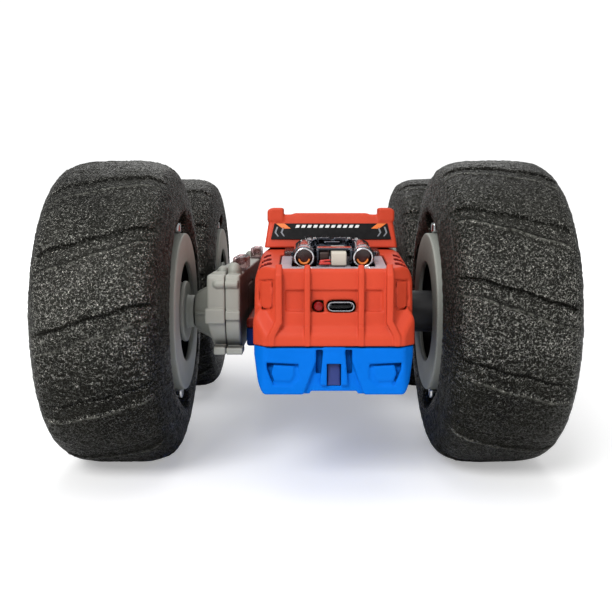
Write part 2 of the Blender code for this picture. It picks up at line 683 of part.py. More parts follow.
def cab():
    bm = bmesh.new()
    left = [bm.verts.new(metres((BODY_X + cab_half(z), y, z))) for y, z in CAB_SIDE]
    right = [bm.verts.new(metres((BODY_X - cab_half(z), y, z))) for y, z in CAB_SIDE]
    bm.faces.new(left)
    bm.faces.new(list(reversed(right)))
    for i in range(len(CAB_SIDE) - 1):            # the underside stays open
        bm.faces.new([left[i], right[i], right[i + 1], left[i + 1]])
    obj = bmesh_object("cab", bm, triangulate=False)
    wall = obj.modifiers.new("wall", "SOLIDIFY")
    wall.thickness = 1.6 * MM
    wall.offset = -1.0
    wall.use_even_offset = True
    for side in (-1, 1):
        join(obj, box(f"ear_{side}", beside_body(side, 18.1, 24.2), (-88.4, -81.0), (97.1, 101.2)))
    cut(obj, box("cab_foot", TRIM_X, (-110, 20), (70, DECK_Z + 0.35)))
    finish(obj, "red_plastic")


def windscreen_decal():
    """Thin label, parallel to the windscreen and just in front of it."""
    screen_y = SCREEN_FOOT[0] + (DECAL_Z - SCREEN_FOOT[1]) * math.tan(SCREEN_TILT)
    place = (BODY_X, screen_y - DECAL_OFFSET * math.cos(SCREEN_TILT),
             DECAL_Z + DECAL_OFFSET * math.sin(SCREEN_TILT))
    decal = plate("windscreen_decal", [DECAL_OUTLINE], DECAL_THICK, place,
                  (math.pi / 2 - SCREEN_TILT, 0, 0))
    finish(decal, "decal", None)


# ================================================================ HOOD
# Pieces here are laid out in flat hood axes (x, distance up the slope, height).
HOOD_TILT = math.atan2(DECK_Z - HOOD_FOOT_Z, HOOD_TOP_Y - HOOD_FOOT_Y)
INSERT_HEIGHT = (-1.8, -0.6)
INTAKE_X, INTAKE_HEIGHT = 10.1, 2.2      # distance from the body plane, axis height


def on_hood(obj):
    """Tilt a piece from flat hood axes onto the hood."""
    c, s = math.cos(HOOD_TILT), math.sin(HOOD_TILT)
    x, along, height = obj.location
    obj.location = (x, HOOD_FOOT_Y * MM + along * c - height * s,
                    HOOD_FOOT_Z * MM + along * s + height * c)
    tilt = Matrix.Rotation(HOOD_TILT, 3, "X")
    obj.rotation_euler = (tilt @ obj.rotation_euler.to_matrix()).to_euler()
    return obj


def hood_box(name, x_span, along_span, height_span):
    return on_hood(box(name, x_span, along_span, height_span))


def hood_insert():
    insert = hood_box("hood_insert", around(BODY_X, 18.1), (2.0, 26.2), INSERT_HEIGHT)
    join(insert, hood_box("engine_tray", around(BODY_X, 10.5), (25.0, 35.5), INSERT_HEIGHT))
    for side in (-1, 1):
        cut(insert, hood_box(f"drum_pocket_{side}", beside_body(side, 5.9, 14.3),
                             (7.4, 24.6), (-4.0, 2.0)))
    finish(insert, "lilac")


def engine():
    block = hood_box("engine_block", around(BODY_X, 10.4), (24.9, 35.0), (-0.3, 5.6))
    cut(block, hood_box("engine_step", around(BODY_X, 7.0), (20.0, 29.4), (2.6, 8.0)))
    finish(block, "chrome")
    for side, side_name in SIDES:
        across = (BODY_X + side * INTAKE_X, INTAKE_HEIGHT)
        intake = on_hood(rod(f"intake_{side_name}", 3.8, (8.4, 24.3), across, 20, "Y"))
        cut(intake, on_hood(rod(f"intake_bore_{side_name}", 3.0, (6.0, 13.0), across, 20, "Y")))
        finish(intake, "chrome")
    scoop = hood_box("air_scoop", (BODY_X - 1.0, BODY_X + 4.4), (6.6, 20.5), (-0.3, 4.3))
    finish(scoop, "cream")


# ================================================================ ELECTRICS
PORT_WIDTH, PORT_HEIGHT, PORT_WALL = 8.94, 3.2, 0.3
DRIVE_MOTOR_R = 10.5
RIGHT_MOTOR_X = -9.3             # face towards the arm, also on the swing motor


def slot_outline(width, height, steps=5):
    """Slot with half-round ends."""
    radius = height / 2
    reach = width / 2 - radius
    outline = []
    for centre, start in ((reach, -math.pi / 2), (-reach, math.pi / 2)):
        for i in range(steps + 1):
            x, y = polar(radius, start + math.pi * i / steps)
            outline.append((centre + x, y))
    return outline


def usb_port():
    loops = [slot_outline(PORT_WIDTH, PORT_HEIGHT),
             slot_outline(PORT_WIDTH - 2 * PORT_WALL, PORT_HEIGHT - 2 * PORT_WALL)]
    port = plate("usb_port_shell", loops, 7.3, (USB_X, -124.35, PORT_Z), END_ON)
    join(port, plate("port_back", [slot_outline(8.6, 2.9)], 0.8, (USB_X, -121.1, PORT_Z), END_ON))
    finish(port, "steel")
    tongue = box("usb_port_tongue", around(USB_X, 3.35), (-127.4, -121.9), around(PORT_Z, 0.35))
    finish(tongue, "dark_plastic")


def status_led():
    lamp = rod("status_led", 1.65, (-128.2, -122.8), (LED_X, PORT_Z), 16, "Y")
    dome = lamp.modifiers.new("dome", "BEVEL")
    dome.width = 0.9 * MM
    dome.segments = 3
    dome.limit_method = "ANGLE"
    finish(lamp, "led")


def circuit_board():
    finish(box("circuit_board", around(BODY_X, 13.0), (-121.6, -84.0), (64.7, 66.0)), "pcb")


def battery_pack():
    pack = box("battery_pack", (BODY_X - 20.0, BODY_X + 12.0), (30.0, 86.0), (42.0, 57.0))
    edges = pack.modifiers.new("edges", "BEVEL")
    edges.width = 1.5 * MM
    edges.segments = 2
    finish(pack, "battery")


def motors():
    centre = (0, AXLE_Z)
    motor = rod("right_drive_motor", DRIVE_MOTOR_R, (RIGHT_MOTOR_X, 8.0), centre, 24)
    cut(motor, rod("motor_bore_r", 2.15, (-10.0, -6.2), centre))
    finish(motor, "steel")
    motor = rod("left_drive_motor", DRIVE_MOTOR_R, (8.6, 23.4), centre, 24)
    join(motor, rod("motor_shaft_l", 1.6, (22.0, 31.0), centre))
    finish(motor, "steel")
    centre = (SWING_Y, AXLE_Z)
    motor = rod("swing_motor", 6.4, (RIGHT_MOTOR_X, 12.0), centre, 20)
    join(motor, rod("motor_shaft_s", 1.0, (-14.5, -8.0), centre, 12))
    finish(motor, "steel")


def power_switch():
    knob = box("power_switch", around(SWITCH_X, 1.3), around(SWITCH_Y, 3.1), (39.1, 41.2))
    join(knob, box("switch_flange", around(SWITCH_X, 3.3), around(SWITCH_Y, 4.5), (41.0, 42.2)))
    move_origin(knob, (SWITCH_X, SWITCH_Y, 39.0))
    finish(knob, "dark_plastic")


# ================================================================ BUILD
for y, end_name in AXLES:
    for side, side_name in SIDES:
        wheel(side, side_name, y, end_name)
gear_train("right", ARM_GEAR, ARM_PITCH, ARM_IDLERS, drive_phase=0.5, drive_bore=AXLE_FIT)
gear_train("left", BODY_GEAR, BODY_PITCH, BODY_IDLERS, drive_phase=0.0, drive_bore=1.75)
right_drive_shaft()

arm_outer_half()
arm_inner_half()
arm_screws()
arm_pivot()

upper_shell()
lower_shell()
shell_fittings()
cab()
windscreen_decal()
hood_insert()
engine()

usb_port()
status_led()
circuit_board()
battery_pack()
motors()
power_switch()
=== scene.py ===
"""Looks of a stunt car: rounded moulded shells, foam tyres, wheels, hood parts and materials.

The nose points to -Y, the car's right side is at -X and the floor lies just under z = 0. Shapes
are worked out in millimetres, as distance fields or turned sections, and scaled to metres
when their meshes are made. The swing arm covers the right side between the wheels.
"""
import math
from functools import partial
from itertools import product

import bmesh
import bpy
import numpy as np
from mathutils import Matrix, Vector


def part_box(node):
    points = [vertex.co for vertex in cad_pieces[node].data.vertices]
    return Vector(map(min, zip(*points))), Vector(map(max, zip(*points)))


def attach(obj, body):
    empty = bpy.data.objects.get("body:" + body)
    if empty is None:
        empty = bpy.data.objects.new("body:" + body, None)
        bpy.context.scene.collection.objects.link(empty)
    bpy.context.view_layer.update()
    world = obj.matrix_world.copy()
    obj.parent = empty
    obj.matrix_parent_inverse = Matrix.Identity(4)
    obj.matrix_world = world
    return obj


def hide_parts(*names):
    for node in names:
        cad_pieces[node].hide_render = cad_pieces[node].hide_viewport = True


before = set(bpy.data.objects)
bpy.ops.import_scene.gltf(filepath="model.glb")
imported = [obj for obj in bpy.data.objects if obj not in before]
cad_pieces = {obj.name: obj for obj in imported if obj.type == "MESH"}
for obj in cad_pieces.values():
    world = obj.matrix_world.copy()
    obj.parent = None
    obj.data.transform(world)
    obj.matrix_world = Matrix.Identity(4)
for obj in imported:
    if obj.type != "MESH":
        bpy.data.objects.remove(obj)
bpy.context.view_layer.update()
MM = 0.001


def pick(fine):
    """Grid step or count, used as given."""
    return fine


# ------------------------------------------------------------------ driving sizes, mm
def box_mm(piece):
    low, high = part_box(piece)
    return np.array(low) * 1000.0, np.array(high) * 1000.0


shell_low, shell_high = box_mm("upper_shell")
tyre_low, tyre_high = box_mm("left_front_tyre")
BODY_X = 0.5 * (shell_low[0] + shell_high[0])      # middle plane of the body
SPLIT = box_mm("lower_shell")[1][2] - 0.4          # joint of the red and blue shells
AXLE_Z = 0.5 * (tyre_low[2] + tyre_high[2])
AXLE_Y = abs(0.5 * (tyre_low[1] + tyre_high[1]))
TYRE_R = 0.5 * (tyre_high[1] - tyre_low[1])
AXLE_BORE = 2.06                                   # radius of the hole in rims and spokes

STEP = pick(0.5)                              # main grid step of the shells

# upper shell
DECK = 85.8                                        # height of the flat deck
NOSE_TOP = 80.4                                    # height where the hood meets the end face
END_Y = 127.5                                      # end face of the red shell
HOOD_Y = 90.3                                      # where the hood slope reaches the deck
HOOD_SLOPE = (DECK - NOSE_TOP) / (END_Y - HOOD_Y)
VENT_STATIONS = (103.0, 110.6, 118.2)
PORT_Z = 67.9

# lower shell
FLOOR_Z = 37.7
BOSS_X, BOSS_Y = 21.5, 104.0                       # screw bosses in its four corners

# cab
CAB_Z = 86.0
SCREEN_FOOT_Y, SCREEN_HEAD_Y = -90.5, -87.2
SCREEN_HEAD_Z = 98.6
SCREEN_RUN = SCREEN_HEAD_Y - SCREEN_FOOT_Y
SCREEN_RISE = SCREEN_HEAD_Z - CAB_Z

# swing arm
ARM_END, ARM_TOP = 89.6, 75.7
ARM_OUT, ARM_SPLIT, ARM_IN = -37.9, -30.9, -25.1   # outer face, joint, inner face
ARM_WALL = 1.4
ARM_CAVITY_R = 13.9
ARM_CORNER_R = 15.5
ARM_SCREW_Y, ARM_SCREW_Z = 83.6, 72.4

# tyres
TYRE_MID, TYRE_HALF, TYRE_BORE = 70.7, 24.7, 31.8  # middle |x|, half width, bore radius
TREAD_COUNT = 13

# hood parts
DRUM_X, DRUM_RISE = 10.1, 2.2                      # drum axis, and its height above the hood


# ------------------------------------------------------------------ distance-field kit
def meet(first, second, blend):
    """Smooth intersection of two fields."""
    share = np.clip(0.5 - 0.5 * (second - first) / blend, 0.0, 1.0)
    return second + (first - second) * share + blend * share * (1.0 - share)


def join(first, second, blend):
    """Smooth union of two fields."""
    return -meet(-first, -second, blend)


def carve(form, tool, blend=None):
    """Form with the tool taken out, sharply when no blend is given."""
    return np.maximum(form, -tool) if blend is None else meet(form, -tool, blend)


def block(x, y, z, centre, half, edge):
    """Box with rounded edges: centre, half sizes, edge radius."""
    over_x = np.abs(x - centre[0]) - half[0] + edge
    over_y = np.abs(y - centre[1]) - half[1] + edge
    over_z = np.abs(z - centre[2]) - half[2] + edge
    outside = np.sqrt(np.maximum(over_x, 0) ** 2 + np.maximum(over_y, 0) ** 2
                      + np.maximum(over_z, 0) ** 2)
    return outside + np.minimum(np.maximum(over_x, np.maximum(over_y, over_z)), 0) - edge


def to_segment(across, up, start, end):
    """Distance in a plane to the segment from start to end."""
    run, rise = end[0] - start[0], end[1] - start[1]
    from_x, from_y = across - start[0], up - start[1]
    share = np.clip((from_x * run + from_y * rise) / (run ** 2 + rise ** 2), 0, 1)
    return np.sqrt((from_x - run * share) ** 2 + (from_y - rise * share) ** 2)


def flat_bar(across, up, start, end, half):
    """Square-ended bar in a plane from start to end."""
    run, rise = end[0] - start[0], end[1] - start[1]
    length = math.hypot(run, rise)
    run, rise = run / length, rise / length
    from_x = across - (start[0] + end[0]) / 2
    from_y = up - (start[1] + end[1]) / 2
    lengthways = from_x * run + from_y * rise
    sideways = -from_x * rise + from_y * run
    return np.maximum(np.abs(lengthways) - length / 2, np.abs(sideways) - half)


def polygon(across, up, outline):
    """Signed distance in a plane to a closed polygon."""
    nearest = np.full(np.broadcast(across, up).shape, 1e9, np.float32)
    sign = np.ones(nearest.shape, np.float32)
    for i, here in enumerate(outline):
        last = outline[i - 1]
        run, rise = last[0] - here[0], last[1] - here[1]
        from_x, from_y = across - here[0], up - here[1]
        share = np.clip((from_x * run + from_y * rise) / (run * run + rise * rise), 0, 1)
        nearest = np.minimum(nearest, (from_x - run * share) ** 2 + (from_y - rise * share) ** 2)
        above, below, left = up >= here[1], up < last[1], run * from_y > rise * from_x
        flip = (above & below & left) | (~above & ~below & ~left)
        sign = np.where(flip, -sign, sign)
    return sign * np.sqrt(nearest)


def taper(at, stations, sizes):
    """Size read off a table of stations."""
    return np.interp(at, stations, sizes).astype(np.float32)


def ticks(*spans):
    """Grid lines from (start, end, step) spans that join up."""
    lines = [np.array([spans[0][0]])]
    for start, end, step in spans:
        count = max(1, int(round((end - start) / step)))
        lines.append(np.linspace(start, end, count + 1)[1:])
    return np.concatenate(lines).astype(np.float32)


def lattice(x_span, y_span, z_span, step, y_step=None):
    """Grid lines on three axes from (low, high) spans."""
    return (ticks((*x_span, step)), ticks((*y_span, y_step or step)), ticks((*z_span, step)))


def around(centre, reach):
    return centre - reach, centre + reach


def mirrored(side, near, far):
    """Span from near to far on the side given by a sign."""
    return tuple(sorted((side * near, side * far)))


# ------------------------------------------------------------------ meshes
def quad_mesh(name, points, quads):
    """Closed smooth quad mesh from points in mm, with its faces turned outward."""
    first, second, third, fourth = (points[quads[:, n]] for n in range(4))
    volume = (first * np.cross(second, third)).sum() + (first * np.cross(third, fourth)).sum()
    if volume < 0:
        quads = quads[:, ::-1]
    mesh = bpy.data.meshes.new(name)
    mesh.vertices.add(len(points))
    mesh.vertices.foreach_set("co", (points * MM).astype(np.float32).ravel())
    mesh.loops.add(quads.size)
    mesh.loops.foreach_set("vertex_index", quads.astype(np.int32).ravel())
    mesh.polygons.add(len(quads))
    mesh.polygons.foreach_set("loop_start", np.arange(0, quads.size, 4, dtype=np.int32))
    mesh.polygons.foreach_set("loop_total", np.full(len(quads), 4, np.int32))
    mesh.update(calc_edges=True)
    mesh.validate()
    mesh.shade_smooth()
    return link_object(name, mesh)


def link_object(name, data):
    obj = bpy.data.objects.new(name, data)
    bpy.context.scene.collection.objects.link(obj)
    return obj


# cube edges as pairs of corners; bit n of a corner number is its place on axis n
CUBE_EDGES = [(n, n | bit) for bit in (1, 2, 4) for n in range(8) if not n & bit]


def net_points(vals, grid, cells):
    """One point per cell: the mean of the zero crossings on the cell's edges."""
    corners = []
    for n in range(8):
        at = tuple(cells[axis] + (n >> axis & 1) for axis in range(3))
        corners.append([vals[at]] + [grid[axis][at[axis]] for axis in range(3)])
    total = np.zeros((len(cells[0]), 3))
    hits = np.zeros(len(cells[0]))
    for start, end in CUBE_EDGES:
        start_val, end_val = corners[start][0], corners[end][0]
        cross = (start_val < 0) != (end_val < 0)
        share = np.where(cross, start_val / np.where(cross, start_val - end_val, 1), 0)
        for axis in range(3):
            low, high = corners[start][axis + 1], corners[end][axis + 1]
            total[:, axis] += np.where(cross, low + share * (high - low), 0)
        hits += cross
    return total / hits[:, None]


def net_quads(inside, number):
    """One quad round every grid edge whose ends lie on different sides of the surface."""
    quads = []
    for axis in range(3):
        cut = [slice(None)] * 3
        cut[axis] = slice(0, -1)
        starts = inside[tuple(cut)]
        cut[axis] = slice(1, None)
        change = starts != inside[tuple(cut)]
        first, second = (axis + 1) % 3, (axis + 2) % 3
        for other in (first, second):
            rim = [slice(None)] * 3
            rim[other] = [0, -1]
            change[tuple(rim)] = False
        at = np.array(np.nonzero(change))
        ring = []
        for back_first, back_second in ((1, 1), (0, 1), (0, 0), (1, 0)):
            cell = at.copy()
            cell[first] -= back_first
            cell[second] -= back_second
            ring.append(number[tuple(cell)])
        quad = np.stack(ring, 1)
        flip = ~starts[tuple(at)]
        quad[flip] = quad[flip][:, ::-1]
        quads.append(quad)
    quads = np.concatenate(quads)
    return quads[(quads >= 0).all(1)]


def surface(name, func, grid, polish=2):
    """Closed mesh of func = 0 by surface nets, drawn onto the surface in polish rounds."""
    def field(x, y, z):
        return func(x, y, z).astype(np.float32)

    xs, ys, zs = grid
    count_x, count_y, count_z = len(xs), len(ys), len(zs)
    vals = np.empty((count_x, count_y, count_z), np.float32)
    slab = max(1, int(3.0e6 // (count_y * count_z)))      # rows at a time, to spare memory
    for start in range(0, count_x, slab):
        rows = xs[start:start + slab]
        vals[start:start + slab] = field(*np.meshgrid(rows, ys, zs, indexing="ij", sparse=True))
    # the grid's skin is always outside, so that the mesh closes
    vals[[0, -1]] = vals[:, [0, -1]] = vals[:, :, [0, -1]] = 5
    inside = vals < 0
    count = np.zeros((count_x - 1, count_y - 1, count_z - 1), np.int8)
    for i, j, k in product((0, 1), repeat=3):
        count += inside[i:count_x - 1 + i, j:count_y - 1 + j, k:count_z - 1 + k]
    cells = np.nonzero((count > 0) & (count < 8))
    number = np.full(count.shape, -1, np.int32)
    number[cells] = np.arange(len(cells[0]))
    points = net_points(vals, grid, cells)
    quads = net_quads(inside, number)

    nudge = 0.05
    for _ in range(polish):
        value = field(*points.T)
        slope = np.stack([(field(*(points + nudge * axis).T) - value) / nudge
                          for axis in np.eye(3)], 1)
        steepness = np.maximum((slope ** 2).sum(1), 0.35)
        points = points - np.clip(value / steepness, -0.3, 0.3)[:, None] * slope
    return quad_mesh(name, points, quads)


def place(obj, body, slot, mat, *stands_for):
    obj.data.materials.clear()
    obj.data.materials.append(mat)
    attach(obj, body)
    if stands_for:
        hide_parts(*stands_for)
    return obj


def mould(name, func, grid, body, slot, mat, *stands_for, polish=2):
    """Surface of a distance field, put on its body."""
    return place(surface(name, func, grid, polish), body, slot, mat, *stands_for)


def recolour(obj, mat, test):
    """Faces whose centre (mm) and normal pass the test take another material."""
    polygons = obj.data.polygons
    count = len(polygons)
    centre, normal = np.empty(3 * count, np.float32), np.empty(3 * count, np.float32)
    polygons.foreach_get("center", centre)
    polygons.foreach_get("normal", normal)
    hit = test(centre.reshape(-1, 3).T / MM, normal.reshape(-1, 3).T)
    obj.data.materials.append(mat)
    index = np.empty(count, np.int32)
    polygons.foreach_get("material_index", index)
    index[hit] = len(obj.data.materials) - 1
    polygons.foreach_set("material_index", index)
    obj.data.update()


def torus_mesh(name, points):
    """Quad mesh over a (rows, columns, 3) array of points that closes both ways."""
    rows, columns = points.shape[:2]
    row, column = (index.ravel() for index in np.indices((rows, columns)))
    next_row, next_column = (row + 1) % rows, (column + 1) % columns
    quads = np.stack([row * columns + column, next_row * columns + column,
                      next_row * columns + next_column, row * columns + next_column], 1)
    return quad_mesh(name, points.reshape(-1, 3), quads)


def round_profile(profile, radius):
    """Closed profile with its corners rounded by short curves."""
    steps = 4
    rounded = []
    for i, point in enumerate(profile):
        corner = np.array(point, float)
        before = np.array(profile[i - 1], float)
        after = np.array(profile[(i + 1) % len(profile)], float)
        to_before, to_after = np.linalg.norm(before - corner), np.linalg.norm(after - corner)
        reach = min(radius, 0.42 * to_before, 0.42 * to_after)
        start = corner + (before - corner) / to_before * reach
        end = corner + (after - corner) / to_after * reach
        for k in range(steps + 1):
            t = k / steps
            rounded.append((1 - t) ** 2 * start + 2 * t * (1 - t) * corner + t * t * end)
    return np.array(rounded)


def spin(name, profile, y, side, segments, radius, z=AXLE_Z):
    """Piece turned about a line along X; the profile is (radius, |x|)."""
    section = round_profile(profile, radius)
    angle = np.linspace(0, 2 * math.pi, segments, endpoint=False)[:, None]
    points = np.zeros((segments, len(section), 3))
    points[..., 0] = side * section[:, 1]
    points[..., 1] = y + section[:, 0] * np.sin(angle)
    points[..., 2] = z + section[:, 0] * np.cos(angle)
    return torus_mesh(name, points)


# ------------------------------------------------------------------ shader kit
def srgb(*rgb):
    """Linear colour from 0-255 display values."""
    return tuple((c / 255 / 12.92 if c / 255 <= 0.04045 else ((c / 255 + 0.055) / 1.055) ** 2.4)
                 for c in rgb) + (1.0,)


def scaled(colour, gain, lift=0.0):
    return tuple(min(1, c * gain + lift) for c in colour[:3]) + (1.0,)


def grey(level):
    return (level, level, level, 1.0)


class Nodes:
    """Short ways to add and link nodes in one tree."""

    def __init__(self, tree):
        self.tree = tree

    def feed(self, node, sockets):
        """Link or set the node's inputs, given as {input: output socket or value}."""
        for key, value in sockets.items():
            if isinstance(value, bpy.types.NodeSocket):
                self.tree.links.new(value, node.inputs[key])
            else:
                node.inputs[key].default_value = value

    def add(self, kind, sockets=None, **settings):
        node = self.tree.nodes.new("ShaderNode" + kind)
        for field, value in settings.items():
            setattr(node, field, value)
        self.feed(node, sockets or {})
        return node

    def math(self, operation, *values):
        return self.add("Math", dict(enumerate(values)), operation=operation).outputs[0]

    def mix(self, factor, base, over, blend="MIX"):
        node = self.add("Mix", data_type="RGBA", blend_type=blend)
        self.feed(node, {"Factor": factor, "A": base, "B": over})
        return node.outputs["Result"]

    def ramp(self, value, *stops, interpolation="LINEAR"):
        """Colour ramp of (position, colour) stops; a plain number is a grey."""
        node = self.add("ValToRGB", {"Fac": value})
        scale = node.color_ramp
        stops = [(at, tone if isinstance(tone, tuple) else grey(tone)) for at, tone in stops]
        scale.elements[0].position, scale.elements[0].color = stops[0]
        scale.elements[1].position, scale.elements[1].color = stops[-1]
        for at, tone in stops[1:-1]:
            scale.elements.new(at).color = tone
        scale.interpolation = interpolation
        return node.outputs["Color"]


class Shader(Nodes):
    """A new material with its Principled shader and object coordinates at hand."""

    def __init__(self, name):
        self.mat = bpy.data.materials.new(name)
        self.mat.use_nodes = True
        super().__init__(self.mat.node_tree)
        self.bsdf = self.tree.nodes["Principled BSDF"]
        self.coords = self.add("TexCoord").outputs["Object"]

    def noise(self, scale, detail=3.0, rough=0.6, coords=None):
        return self.add("TexNoise", {"Scale": scale, "Detail": detail, "Roughness": rough,
                                     "Vector": coords or self.coords}).outputs["Fac"]

    def bump(self, height, strength, distance):
        return self.add("Bump", {"Strength": strength, "Distance": distance,
                                 "Height": height}).outputs["Normal"]

    def shaded_in_gaps(self, colour, reach=0.024, darkest=0.16, full=0.62):
        """Colour darkened as painted shade where the surface looks into a gap or a corner."""
        openness = self.add("AmbientOcclusion", {"Distance": reach}, samples=6).outputs["AO"]
        fade = self.ramp(openness, (0.04, darkest), (full, 1))
        return self.mix(1.0, colour, fade, "MULTIPLY")


# ------------------------------------------------------------------ materials
def moulded(name, rgb, rough, var=0.05, grain=0.05, edge=0.10, spec=0.5, coat=0.0, sub=0.0,
            glow=None):
    """Moulded plastic: fine grain, faint flow marks, paler worn edges, painted shade in the
    corners.

    var: strength of the flow marks; grain: bump strength; edge: wear on sharp edges;
    sub: subsurface weight; glow: (display colour, strength) of its own light.
    """
    sh = Shader(name)
    base = srgb(*rgb)
    flow = sh.noise(38.0, detail=4.0)
    colour = sh.ramp(flow, (0.30, scaled(base, 1 - var)), (0.70, scaled(base, 1 + var, 0.002)))
    # wear shows in spots along the edges only
    pointiness = sh.add("NewGeometry").outputs["Pointiness"]
    wear = sh.ramp(pointiness, (0.515, 0), (0.60, 1))
    spots = sh.ramp(sh.noise(420.0), (0.42, 0), (0.62, 1))
    amount = sh.math("MULTIPLY", sh.math("MULTIPLY", wear, spots), edge)
    worn = sh.mix(amount, colour, scaled(base, 1.25, 0.06))
    fine = sh.noise(2600.0, detail=2.0, rough=0.5)
    sh.feed(sh.bsdf, {
        # the base colour takes painted shade in gaps and corners
        "Base Color": sh.shaded_in_gaps(worn),
        "Roughness": sh.ramp(sh.noise(160.0), (0.30, rough - 0.05), (0.70, rough + 0.06)),
        "Normal": sh.bump(fine, strength=grain, distance=0.0003),
        "Coat Weight": coat,
        "Coat Roughness": 0.2,
        "Specular IOR Level": spec,
    })
    if sub:
        sh.feed(sh.bsdf, {"Subsurface Weight": sub,
                          "Subsurface Radius": (0.004, 0.002, 0.001),
                          "Subsurface Scale": 0.3})
    if glow:
        sh.feed(sh.bsdf, {"Emission Color": srgb(*glow[0]), "Emission Strength": glow[1]})
    return sh.mat


def metal_tone(sh, rgb):
    """Metal colour with faint patches."""
    base = srgb(*rgb)
    return sh.ramp(sh.noise(90.0, detail=4.0),
                   (0.3, scaled(base, 0.95)), (0.7, scaled(base, 1.05)))


def metal_finish(sh, colour, rough, brushed=False):
    """Metal of a given colour, with streaks across X when brushed."""
    stretch = (1.0, 14.0, 14.0) if brushed else (1, 1, 1)
    mapping = sh.add("Mapping", {"Scale": stretch, "Vector": sh.coords})
    streaks = sh.noise(300.0, coords=mapping.outputs["Vector"])
    sh.feed(sh.bsdf, {
        "Base Color": colour,
        "Metallic": 1.0,
        "Roughness": sh.ramp(streaks, (0.3, max(0.02, rough - 0.08)), (0.7, rough + 0.08)),
        "Normal": sh.bump(streaks, strength=0.14 if brushed else 0.04, distance=0.0002),
    })
    return sh.mat


def metal(name, rgb, rough, brushed=False):
    sh = Shader(name)
    return metal_finish(sh, metal_tone(sh, rgb), rough, brushed)


def smoked_chrome():
    """Smoked plating: dark seen square on, bright where it turns away."""
    sh = Shader("smoked_chrome")
    facing = sh.add("LayerWeight", {"Blend": 0.35}).outputs["Facing"]
    turn = sh.ramp(facing, (0.35, 0), (0.85, 1))
    colour = sh.mix(turn, metal_tone(sh, (62, 66, 74)), srgb(214, 218, 224))
    return metal_finish(sh, colour, rough=0.09)


def port_steel():
    """Steel on the faces turned to the front (-Y); the other faces are painted black as the shade
    inside the port.
    """
    sh = Shader("port_steel")
    normal = sh.add("TexCoord").outputs["Normal"]
    split = sh.add("SeparateXYZ", {0: normal})
    front = sh.math("LESS_THAN", split.outputs["Y"], -0.6)
    # faces not turned to the front get black with no shine, as painted shade
    metal_finish(sh, sh.mix(front, srgb(9, 9, 10), srgb(176, 176, 182)), rough=0.24)
    sh.feed(sh.bsdf, {"Metallic": front, "Specular IOR Level": front})
    return sh.mat


def foam_skin():
    """Near-black foam with a finely crinkled skin that catches the light on its ridges, with
    painted shade in its pits and gaps, and painted shadow lines and highlights on the tread
    strips.
    """
    sh = Shader("foam_skin")
    # height: crests of two noises, (scale, weight, half width of a crest), and pebbles
    height = 0.0
    for scale, weight, half in ((930.0, 0.50, 0.070), (1700.0, 0.32, 0.080)):
        crest = sh.ramp(sh.noise(scale, detail=2.0, rough=0.5),
                        (0.5 - half, 0), (0.5, 1), (0.5 + half, 0), interpolation="EASE")
        height = sh.math("MULTIPLY_ADD", crest, weight, height)
    cells = sh.add("TexVoronoi", {"Scale": 1060.0, "Vector": sh.coords})
    pebble = sh.ramp(cells.outputs["Distance"], (0.05, 1), (0.70, 0))
    height = sh.math("MULTIPLY_ADD", pebble, 0.42, height)

    patch = sh.noise(24.0, detail=5.0, rough=0.62)
    broad = sh.ramp(patch, (0.30, srgb(36, 36, 33)), (0.52, srgb(48, 48, 43)),
                    (0.74, srgb(62, 62, 56)))
    # the pits of the skin are painted darker than its ridges, as shade
    tone = sh.ramp(height, (0.12, 0.35), (0.60, 0.75), (0.95, 1.0))
    shade = sh.mix(1.0, broad, tone, "MULTIPLY")
    # painted shadow lines along the upper edges of the tread strips, and painted highlights on
    # their lower lips
    mark = sh.add("Attribute", attribute_name="tread").outputs["Fac"]
    dark = sh.ramp(mark, (0.0, 0.30), (0.5, 1))
    lip = sh.ramp(mark, (0.5, 0), (1.0, 0.75))
    painted_lip_highlight = sh.mix(lip, sh.mix(1.0, shade, dark, "MULTIPLY"), srgb(118, 118, 110))

    gloss = sh.ramp(height, (0.38, 0.03), (0.90, 1.0))
    # the sheen is painted strongest on upright faces, duller on top and dullest underneath,
    # following where the lamps' highlights fall
    true_normal = sh.add("NewGeometry").outputs["True Normal"]
    facing = sh.add("SeparateXYZ", {0: true_normal})
    upward = sh.math("MULTIPLY_ADD", facing.outputs["Z"], 0.5, 0.5)
    sheen = sh.ramp(upward, (0.35, 0.12), (0.46, 1.0), (0.66, 1.0), (0.90, 0.36))
    # the side walls stay duller than the tread
    sideways = sh.math("ABSOLUTE", facing.outputs["X"])
    wall = sh.ramp(sideways, (0.45, 1.0), (0.85, 0.28))
    polish = sh.math("MULTIPLY", sh.math("MULTIPLY", sheen, wall), 6.0)
    glint = sh.math("MULTIPLY", gloss, polish)
    sh.feed(sh.bsdf, {
        # the foam's colour takes painted shade in gaps and corners
        "Base Color": sh.shaded_in_gaps(painted_lip_highlight, reach=0.03, darkest=0.35, full=0.6),
        # the painted shadow lines lose their shine as well
        "Specular IOR Level": sh.mix(1.0, glint, dark, "MULTIPLY"),
        "Roughness": sh.ramp(patch, (0.3, 0.18), (0.7, 0.28)),
        "Specular Tint": (1.0, 0.99, 0.90, 1),
        "Normal": sh.bump(height, strength=1.0, distance=0.00036),
    })
    return sh.mat


def clear(name, tint, blend, haze):
    """Thin clear moulding: mostly see-through, with reflections growing at its edges."""
    sh = Shader(name)
    sh.tree.nodes.remove(sh.bsdf)
    tone = sh.ramp(sh.noise(60.0), (0.3, scaled(tint, 0.85)), (0.7, tint))
    see = sh.add("BsdfTransparent", {"Color": tone})
    shine = sh.add("BsdfGlossy", {"Roughness": haze, "Color": (0.6, 0.6, 0.62, 1)})
    facing = sh.add("LayerWeight", {"Blend": blend}).outputs["Facing"]
    mirror = sh.ramp(facing, (0.0, 0.03), (1.0, 0.6))
    both = sh.add("MixShader", {"Fac": mirror, 1: see.outputs[0], 2: shine.outputs[0]})
    sh.feed(sh.tree.nodes["Material Output"], {"Surface": both.outputs[0]})
    return sh.mat


